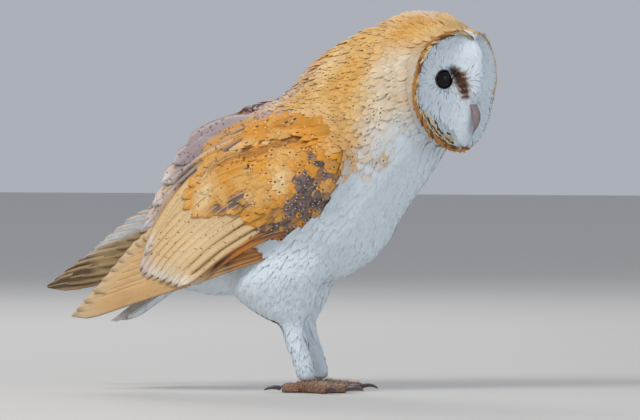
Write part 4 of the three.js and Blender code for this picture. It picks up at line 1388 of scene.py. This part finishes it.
class OWL_OT_flight_feathers(bpy.types.Operator):
    """Tertials, secondaries and primaries of both wings"""

    bl_idname = "owl.flight_feathers"
    bl_label = "Flight feathers"

    # Name, colours of the bars and the edge, number of bars, shares of bars and specks, shaft
    # colour, and how rare the specks are.
    LOOKS = {
        "tertials": ("tertial_vane", (120, 96, 82), (214, 200, 196), 18, 0.0, 0.7, (176, 160, 158), 0.58),
        "greater": ("greater_covert", (150, 112, 70), (226, 166, 76), 16, 0.0, 0.8, (224, 184, 120), 0.61),
        "secondaries": ("secondary_vane", (150, 112, 70), (216, 148, 62), 16, 0.06, 0.85,
                        (206, 168, 112), 0.63),
        "primaries": ("primary_vane", (150, 106, 66), (226, 186, 132), 20, 0.14, 0.3),
    }

    def execute(self, context):
        looks = {kind: quill_material(*values) for kind, values in self.LOOKS.items()}
        looks["median"] = looks["greater"]
        for kind in FANS:
            for side in SIDES:
                gather = wing_fan(kind, side, getattr(self, kind))
                piece = gather.build(f"vanes_{kind}_{side}", looks[kind], getattr(self, f"{kind}_shade"))
                if FANS[kind]["over"]:
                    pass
                else:
                    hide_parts(f"{kind}_{side}")
        return {"FINISHED"}

    @staticmethod
    def tertials(share, draw):
        return blend(BUFF, LILAC, 0.35 + draw.uniform(-0.08, 0.08)), colour(226, 218, 222)

    @staticmethod
    def tertials_shade(x, y, z, tints):
        """Grey along the top, gold below it, and painted shade for the dark hollow behind the coverts."""
        under_top = np.interp(x, *WING_TOP) - z
        tints = blend(tints, colour(224, 164, 74), smooth((24 - under_top) / 6) * smooth((x + 106) / 8))
        top = smooth((7 - under_top) / 3) * smooth((x + 112) / 12)
        tints = blend(tints, colour(160, 148, 158), 0.9 * top)
        # Painted shade in the hollow under the shoulder feathers, and in a patch behind the coverts.
        line = 172 + 0.565 * (x + 80)
        hollow = bell((z - line + 2.5) / 6.5) * smooth((x + 112) / 14)
        hollow = np.maximum(hollow, bell((x + 90) / 9, (z - 163) / 10))
        return blend(tints, colour(74, 50, 34), smooth(1.3 * hollow - 0.1))

    @staticmethod
    def greater(share, draw):
        return GOLD, GOLD

    median = greater

    @staticmethod
    def greater_shade(x, y, z, tints):
        """The long coverts take the colours of the wing round them."""
        points = ORIGIN + np.stack((x, y, z), axis=-1) * MM
        return wing_colour(points, np.zeros(len(x)), np.ones(len(x), bool))[0]

    median_shade = greater_shade

    @staticmethod
    def secondaries(share, draw):
        base = blend(colour(226, 198, 152), GOLD, 0.25 * (1 - share) + draw.uniform(-0.06, 0.06))
        return base, colour(228, 224, 212)

    @staticmethod
    def secondaries_shade(x, y, z, tints):
        """Brown, then burnt orange, in the strip below the last coverts: the browns are painted shade under
        the coverts' edge, the burnt orange is the feathers' own colour.
        """
        # Painted shade: browns where the coverts' edge overhangs; burnt orange further forward.
        strip = smooth((np.interp(x, *WING_FOOT) - z) / 3) * smooth((x + 80) / 10)
        burnt = blend(colour(92, 58, 34), colour(184, 108, 30), smooth((x + 66) / 14))
        burnt = blend(burnt, colour(104, 66, 40), smooth((z - 110) / 8) * smooth((x + 45) / 10))
        tints = blend(tints, burnt, strip)
        return blend(tints, colour(206, 190, 186), 0.6 * smooth((-118 - x) / 8) * smooth((118 - z) / 10))

    @staticmethod
    def primaries(share, draw):
        base = blend(colour(220, 182, 128), colour(198, 150, 94), 0.5 * share)
        return base, blend(colour(220, 192, 150), UMBER, 0.05 + draw.uniform(0, 0.1))

    @staticmethod
    def primaries_shade(x, y, z, tints):
        """The wing behind shows its white trailing edge, a grey face that is painted shade on its white
        underside, and a dark tip that is its bars and painted shade.
        """
        near = (y < 0)[:, None]
        under_top = np.interp(x, *FAR_TOP) - z
        # Painted shade: the far wing's white underside drawn grey-tan, and darker toward its tip.
        far = blend(colour(168, 146, 106), colour(92, 76, 54), smooth((-176 - x) / 10))
        bar = bell((x + 181) / 3.5) + bell((x + 160) / 3) * 0.4
        far = blend(far, colour(62, 46, 34), 0.8 * bar)
        far = blend(far, WHITE, smooth((10 - under_top) / 4) * smooth((x + 196) / 10))
        edge = smooth((-150 - x) / 20) * smooth((70 - z) / 20)
        tints = blend(tints, colour(222, 200, 176), 0.4 * edge)
        # Partly painted shade: dark brown at the roots under the coverts, and the feathers' burnt orange
        # further forward.
        hidden = blend(colour(96, 60, 34), colour(176, 104, 34), smooth((x + 64) / 12))
        tints = blend(tints, hidden, smooth((x + 72) / 10))
        return np.where(near, tints, far)


class OWL_OT_tail(bpy.types.Operator):
    """The twelve feathers of the closed tail"""

    bl_idname = "owl.tail"
    bl_label = "Tail"

    ROOT, TIP = np.array((-84.0, 0.0, 101.0)), np.array((-158.0, 0.0, 49.0))
    FEATHERS, WIDTH = 12, 15.5
    HALF_ROOT, HALF_TIP = 8.0, 16.5
    HUMP = 3.2  # how far the middle feathers lie over the outer ones

    def execute(self, context):
        look = quill_material("tail_vane", (120, 110, 106), (232, 236, 240), 26, 0.2, 0.1, (64, 62, 70))
        gather = Quills()
        draw = np.random.default_rng(71)
        run = self.TIP - self.ROOT
        lift = unit(np.cross((0, 1, 0), run))
        order = sorted(np.linspace(-1, 1, self.FEATHERS), key=lambda share: -abs(share))
        for number, share in enumerate(order):
            s = np.linspace(0, 1, Quills.ROWS)[:, None]
            length = 1 - 0.05 * share * share
            over = self.HUMP * (1 - share * share) + 0.12 * number
            line = self.ROOT + run * s * length + lift * over
            line[:, 1] += share * mix(self.HALF_ROOT, self.HALF_TIP, s[:, 0])
            facing = unit(lift + np.array((0, 0.35 * share, 0)))
            out = square_to(facing, unit(np.gradient(line, axis=0)))
            tint = blend(colour(226, 208, 182), WHITE, 0.5 + 0.5 * abs(share) + draw.uniform(-0.1, 0.1))
            gather.add(ORIGIN + line * MM, out, self.WIDTH, tint, colour(244, 240, 234), 0.25, 0.7)
        piece = gather.build("vanes_tail", look)
        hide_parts("tail")
        return {"FINISHED"}


class OWL_OT_eyes(bpy.types.Operator):
    """Eyeballs with a clear bulge, and the lids round them"""

    bl_idname = "owl.eyes"
    bl_label = "Eyes"

    RADIUS = 8.6
    OPENING = (6.3, 6.7)
    MARGIN, RIM = 7.1, 8.5
    OUTWARD = 0.42  # how far the eyes look to the side
    BALL_ROWS, BALL_TURNS = 26, 40
    LID_ROWS, LID_TURNS = 5, 48

    def execute(self, context):
        gloss = eye_material()
        lid = horn_material("lid_skin", colour(26, 18, 20), colour(60, 42, 42), 0.55, 420.0)
        down = skin_material("lid_down")
        for side, sign in SIDES.items():
            facing = unit(AHEAD + LEFTWARD * sign * self.OUTWARD)
            beside = unit(np.cross(UP, facing))
            axes = facing, beside, np.cross(facing, beside)
            self.ball(side, axes, gloss)
            edge = self.lids(f"eyelid_{side}", side, axes, self.OPENING, self.MARGIN, lid)
            inner = self.MARGIN - 0.1
            ring = self.lids(f"eye_ring_{side}", side, axes, (inner, inner), self.RIM, down)
            places = np.array([v.co for v in ring.data.vertices])
            tints, _ = plumage(places, np.full(len(places), "facial_disc"), 1)
            give_colours(ring.data, "tint", tints * 0.95)
        return {"FINISHED"}

    def ball(self, side, axes, gloss):
        """A ball whose front bulges a little."""
        facing, beside, above = axes
        rows, turns = self.BALL_ROWS, self.BALL_TURNS
        points, faces = [EYES[side] + facing * self.RADIUS * MM * 1.05], []
        for row in range(1, rows):
            angle = math.pi * row / rows
            bulge = 1 + 0.05 * math.exp(-((angle / 0.6) ** 2))
            for turn in range(turns):
                way = 2 * math.pi * turn / turns
                flat = beside * math.cos(way) + above * math.sin(way)
                spot = facing * math.cos(angle) + flat * math.sin(angle)
                points.append(EYES[side] + spot * self.RADIUS * bulge * MM)
        points.append(EYES[side] - facing * self.RADIUS * MM)
        last = len(points) - 1
        for turn in range(turns):
            after = (turn + 1) % turns
            faces.append((0, 1 + turn, 1 + after))
            faces.append((last, last - turns + after, last - turns + turn))
            for row in range(rows - 2):
                a, b = 1 + row * turns + turn, 1 + row * turns + after
                faces.append((a, a + turns, b + turns, b))
        piece = make_object(f"eyeball_{side}", points, faces, gloss)
        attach(piece, "root")
        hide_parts(f"eye_{side}")

    def lids(self, name, side, axes, opening, outer, look):
        """A ring on the eyeball, from the edge of an opening outwards, with a rolled margin."""
        facing, beside, above = axes
        points = []
        for row in range(self.LID_ROWS):
            t = row / (self.LID_ROWS - 1)
            for turn in range(self.LID_TURNS):
                way = 2 * math.pi * turn / self.LID_TURNS
                brow = 0.5 * max(0.0, math.sin(way)) ** 2
                wide = opening[0] * abs(math.cos(way)) ** 2 + (opening[1] - brow) * abs(math.sin(way)) ** 2
                reach = mix(wide, outer, t)
                share = (reach - self.OPENING[0]) / (self.RIM - self.OPENING[0])
                on_ball = math.sqrt((self.RADIUS + 0.4) ** 2 - reach**2)
                roll = 0.3 * math.sin(math.pi * min(1, 0.35 + share))
                height = on_ball + roll - 1.2 * share**2
                flat = beside * math.cos(way) + above * math.sin(way)
                points.append(EYES[side] + (flat * reach + facing * height) * MM)
        piece = make_object(name, points, tube_faces(self.LID_ROWS, self.LID_TURNS), look)
        wall = piece.modifiers.new("wall", "SOLIDIFY")
        wall.thickness = 0.5 * MM
        wall.offset = -1
        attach(piece, "root")
        return piece


def horn_points(marks, steps, turns):
    """Round sections along a curve of head places: forward, up, half width, half depth."""
    shares = np.linspace(0, 1, steps)
    rows = through(marks, shares)
    lead = unit(np.gradient(rows[:, :2], axis=0))
    points = []
    for (forward, up, wide, deep), (run, rise) in zip(rows, lead):
        for turn in range(turns):
            way = 2 * math.pi * turn / turns
            ridge = deep * (math.sin(way) + 0.18 * max(0, math.sin(way)) ** 6)
            points.append(from_head(forward + rise * ridge, wide * math.cos(way), up + run * ridge))
    last = (steps - 1) * turns
    ends = [tuple(range(turns)), tuple(range(last + turns - 1, last - 1, -1))]
    return np.array(points), tube_faces(steps, turns) + ends


class OWL_OT_bill(bpy.types.Operator):
    """The hooked bill, mostly buried in the feathers of the face"""

    bl_idname = "owl.bill"
    bl_label = "Bill"

    PARTS = {
        "upper": [(38, -10, 3.6, 4.0), (45.5, -15.5, 3.8, 4.2), (50.2, -23.5, 3.4, 3.7),
                  (51.4, -31, 2.6, 2.7), (49.8, -37, 1.5, 1.6), (47.2, -41, 0.4, 0.5)],
        "lower": [(37, -24.5, 2.4, 2.2), (41.3, -29.5, 2.4, 2.2), (43.2, -34.5, 1.7, 1.6),
                  (43.9, -37.4, 0.7, 0.7)],
    }

    def execute(self, context):
        look = horn_material("bill_horn", colour(168, 150, 148), colour(112, 96, 96), 0.42, 240.0)
        for part, marks in self.PARTS.items():
            points, faces = horn_points(marks, 22, 24)
            piece = make_object(f"horn_bill_{part}", points, faces, look)
            face_outward(piece.data)
            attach(piece, "root")
            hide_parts(f"bill_{part}")
        return {"FINISHED"}


def bristle_nodes():
    """Geometry Nodes that grow thin cones on the upper faces of a mesh, leaning forward."""
    if "toe_bristles" in bpy.data.node_groups:
        return bpy.data.node_groups["toe_bristles"]
    tree = bpy.data.node_groups.new("toe_bristles", "GeometryNodeTree")
    face = tree.interface
    face.new_socket("Geometry", in_out="INPUT", socket_type="NodeSocketGeometry")
    for name, kind, value in (("Density", "NodeSocketFloat", 240000.0), ("Length", "NodeSocketFloat", 0.0042),
                              ("Radius", "NodeSocketFloat", 0.00013), ("Seed", "NodeSocketInt", 9)):
        socket = face.new_socket(name, in_out="INPUT", socket_type=kind)
        socket.default_value = value
    face.new_socket("Material", in_out="INPUT", socket_type="NodeSocketMaterial")
    face.new_socket("Geometry", in_out="OUTPUT", socket_type="NodeSocketGeometry")
    given, result = add_node(tree, "NodeGroupInput"), add_node(tree, "NodeGroupOutput")
    spread = add_node(tree, "GeometryNodeDistributePointsOnFaces")
    normal = add_node(tree, "GeometryNodeInputNormal")
    split = add_node(tree, "ShaderNodeSeparateXYZ")
    upward = add_node(tree, "FunctionNodeCompare", data_type="FLOAT", operation="GREATER_THAN")
    cone = add_node(tree, "GeometryNodeMeshCone")
    lean = add_node(tree, "ShaderNodeVectorMath", operation="ADD")
    turn = add_node(tree, "FunctionNodeAlignRotationToVector", axis="Z")
    dots = add_node(tree, "GeometryNodeInstanceOnPoints")
    real = add_node(tree, "GeometryNodeRealizeInstances")
    paint = add_node(tree, "GeometryNodeSetMaterial")
    upward.inputs[1].default_value = 0.2
    cone.inputs["Vertices"].default_value = 4
    lean.inputs[1].default_value = (1.1, 0.0, -0.1)
    for source, output, target, entry in (
            (given, "Geometry", spread, "Mesh"), (given, "Density", spread, "Density"),
            (given, "Seed", spread, "Seed"), (normal, 0, split, 0), (split, 2, upward, 0),
            (upward, 0, spread, "Selection"), (given, "Length", cone, "Depth"),
            (given, "Radius", cone, "Radius Bottom"), (spread, "Normal", lean, 0),
            (lean, 0, turn, "Vector"), (spread, "Points", dots, "Points"),
            (cone, "Mesh", dots, "Instance"), (turn, 0, dots, "Rotation"), (dots, 0, real, 0),
            (real, 0, paint, "Geometry"), (given, "Material", paint, "Material"),
            (paint, 0, result, 0)):
        tree.links.new(source.outputs[output], target.inputs[entry])
    return tree


class OWL_OT_feet(bpy.types.Operator):
    """Warty toes with flat soles, bristles on them, and curved claws"""

    bl_idname = "owl.feet"
    bl_label = "Feet"

    VOXEL = 0.75 * MM
    SOLE = 0.5 * MM  # the toes keep their flat underside up to this height

    def execute(self, context):
        look = toe_material()
        claw = horn_material("claw_horn", colour(58, 46, 52), colour(96, 80, 82), 0.3, 180.0)
        bristle = horn_material("bristle", colour(226, 216, 200), colour(190, 168, 148), 0.7, 300.0)
        for side in SIDES:
            points, quads = remeshed("toes", [f"foot_{side}"], self.VOXEL)
            soft = averaged(points, edges_of(quads), 4)
            normals = point_normals(soft, quads)
            bumps = patches(points, 0.0042, 81) * 0.5 + patches(points, 0.002, 82) * 0.4
            soft += normals * (0.25 + bumps[:, None]) * MM
            z = points[:, 2]
            soft[:, 2] = np.where(z < self.SOLE, z, np.maximum(soft[:, 2], 0.1 * MM))
            piece = make_object(f"toes_{side}", soft, quads, look)
            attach(piece, "root")
            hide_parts(f"foot_{side}")
            self.bristles(side, piece, bristle)
            for toe in ("inner", "middle", "outer", "hind"):
                self.claw(f"claw_{toe}_{side}", claw)
        return {"FINISHED"}

    @staticmethod
    def bristles(side, toes, look):
        """Sparse hair-like feathers on the upper faces of the toes."""
        host = put(f"toe_bristles_{side}", toes.data.copy())
        host.data.materials.clear()
        host.data.materials.append(look)
        grow = host.modifiers.new("bristles", "NODES")
        grow.node_group = bristle_nodes()
        for item in grow.node_group.interface.items_tree:
            if item.item_type == "SOCKET" and item.in_out == "INPUT" and item.name == "Material":
                grow[item.identifier] = look
        state = bpy.context.evaluated_depsgraph_get()
        grown = bpy.data.meshes.new_from_object(host.evaluated_get(state))
        host.modifiers.clear()
        host.data = grown
        host.data.name = host.name
        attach(host, "root")

    @staticmethod
    def claw(node, look):
        """The claw's solid with its corners rounded."""
        piece = make_object(f"horn_{node}", *node_arrays([node])[:2], look)
        join_doubles(piece.data)
        rounding = piece.modifiers.new("rounding", "SUBSURF")
        rounding.levels = rounding.render_levels = 2
        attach(piece, "root")
        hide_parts(node)


class OWL_OT_stage(bpy.types.Operator):
    """Pale floor, soft studio light and the camera"""

    bl_idname = "owl.stage"
    bl_label = "Stage"

    MIDDLE_UP = 136.3
    DISTANCE = 6.0
    HALF_FLOOR = 6.0
    LAMPS = (  # name, place, size, power, colour
        ("key", (-0.7, -1.3, 1.7), 0.8, 24, (1.0, 0.97, 0.92)),
        ("fill", (1.6, -1.1, 0.7), 1.2, 5, (0.9, 0.95, 1.0)),
        ("back", (-0.6, 1.5, 1.3), 0.9, 10, (1.0, 0.98, 0.95)),
    )

    def execute(self, context):
        scene = context.scene
        scene.view_settings.view_transform = "Standard"
        look = Shader("stage_floor")
        look.surface.inputs["Base Color"].default_value = (0.6, 0.59, 0.57, 1)
        look.values(Roughness=0.9)
        ways = np.array(((-1, -1, 0), (1, -1, 0), (1, 1, 0), (-1, 1, 0)))
        floor = make_object("stage_floor", ways * self.HALF_FLOOR, [(0, 1, 2, 3)], look.material, False)
        world = bpy.data.worlds.new("studio")
        scene.world = world
        world.use_nodes = True
        tone, strength = world.node_tree.nodes["Background"].inputs[:2]
        tone.default_value = (0.86, 0.9, 1.0, 1)
        strength.default_value = 0.48
        for lamp in self.LAMPS:
            self.lamp(*lamp)
        view = scene.owl_view
        target = place(0, 0, self.MIDDLE_UP)
        flat = math.cos(view.elevation)
        way = np.array((math.sin(view.azimuth) * flat, -math.cos(view.azimuth) * flat,
                        math.sin(view.elevation)))
        data = bpy.data.cameras.new("camera")
        data.lens = data.sensor_width * self.DISTANCE / view.frame_width
        data.clip_end = 50
        scene.camera = self.aimed("camera", data, target + way * self.DISTANCE, -way)
        return {"FINISHED"}

    def lamp(self, name, spot, size, power, tone):
        data = bpy.data.lights.new(name, "AREA")
        data.size = size
        data.energy = power
        data.color = tone
        self.aimed(name, data, spot, Vector(place(-20, 0, 150)) - Vector(spot))

    @staticmethod
    def aimed(name, data, spot, way):
        """A camera or lamp at a spot, looking one way."""
        piece = put(name, data)
        piece.location = spot
        piece.rotation_euler = Vector(way).to_track_quat("-Z", "Y").to_euler()
        return piece


STEPS = (OWL_OT_stage, OWL_OT_skin, OWL_OT_body_feathers, OWL_OT_leg_feathers, OWL_OT_wing_feathers,
         OWL_OT_face_feathers, OWL_OT_flight_feathers, OWL_OT_tail, OWL_OT_eyes, OWL_OT_bill,
         OWL_OT_feet)


class OWL_PT_panel(bpy.types.Panel):
    """Lists the pieces of the owl"""

    bl_idname = "OWL_PT_panel"
    bl_label = "Barn owl"
    bl_space_type = "VIEW_3D"
    bl_region_type = "UI"
    bl_category = "Owl"

    def draw(self, context):
        layout = self.layout
        for group in (context.scene.owl_coat, context.scene.owl_view):
            for key in group.bl_rna.properties.keys():
                if key not in ("rna_type", "name"):
                    layout.prop(group, key)
        for step in STEPS:
            layout.operator(step.bl_idname)


CLASSES = (OwlCoat, OwlView, *STEPS, OWL_PT_panel)


def register():
    for kind in CLASSES:
        bpy.utils.register_class(kind)
    bpy.types.Scene.owl_coat = bpy.props.PointerProperty(type=OwlCoat)
    bpy.types.Scene.owl_view = bpy.props.PointerProperty(type=OwlView)


def unregister():
    del bpy.types.Scene.owl_view
    del bpy.types.Scene.owl_coat
    for kind in reversed(CLASSES):
        bpy.utils.unregister_class(kind)


def main():
    register()
    for step in STEPS:
        group, name = step.bl_idname.split(".")
        getattr(getattr(bpy.ops, group), name)()


if __name__ == "__main__":
    main()
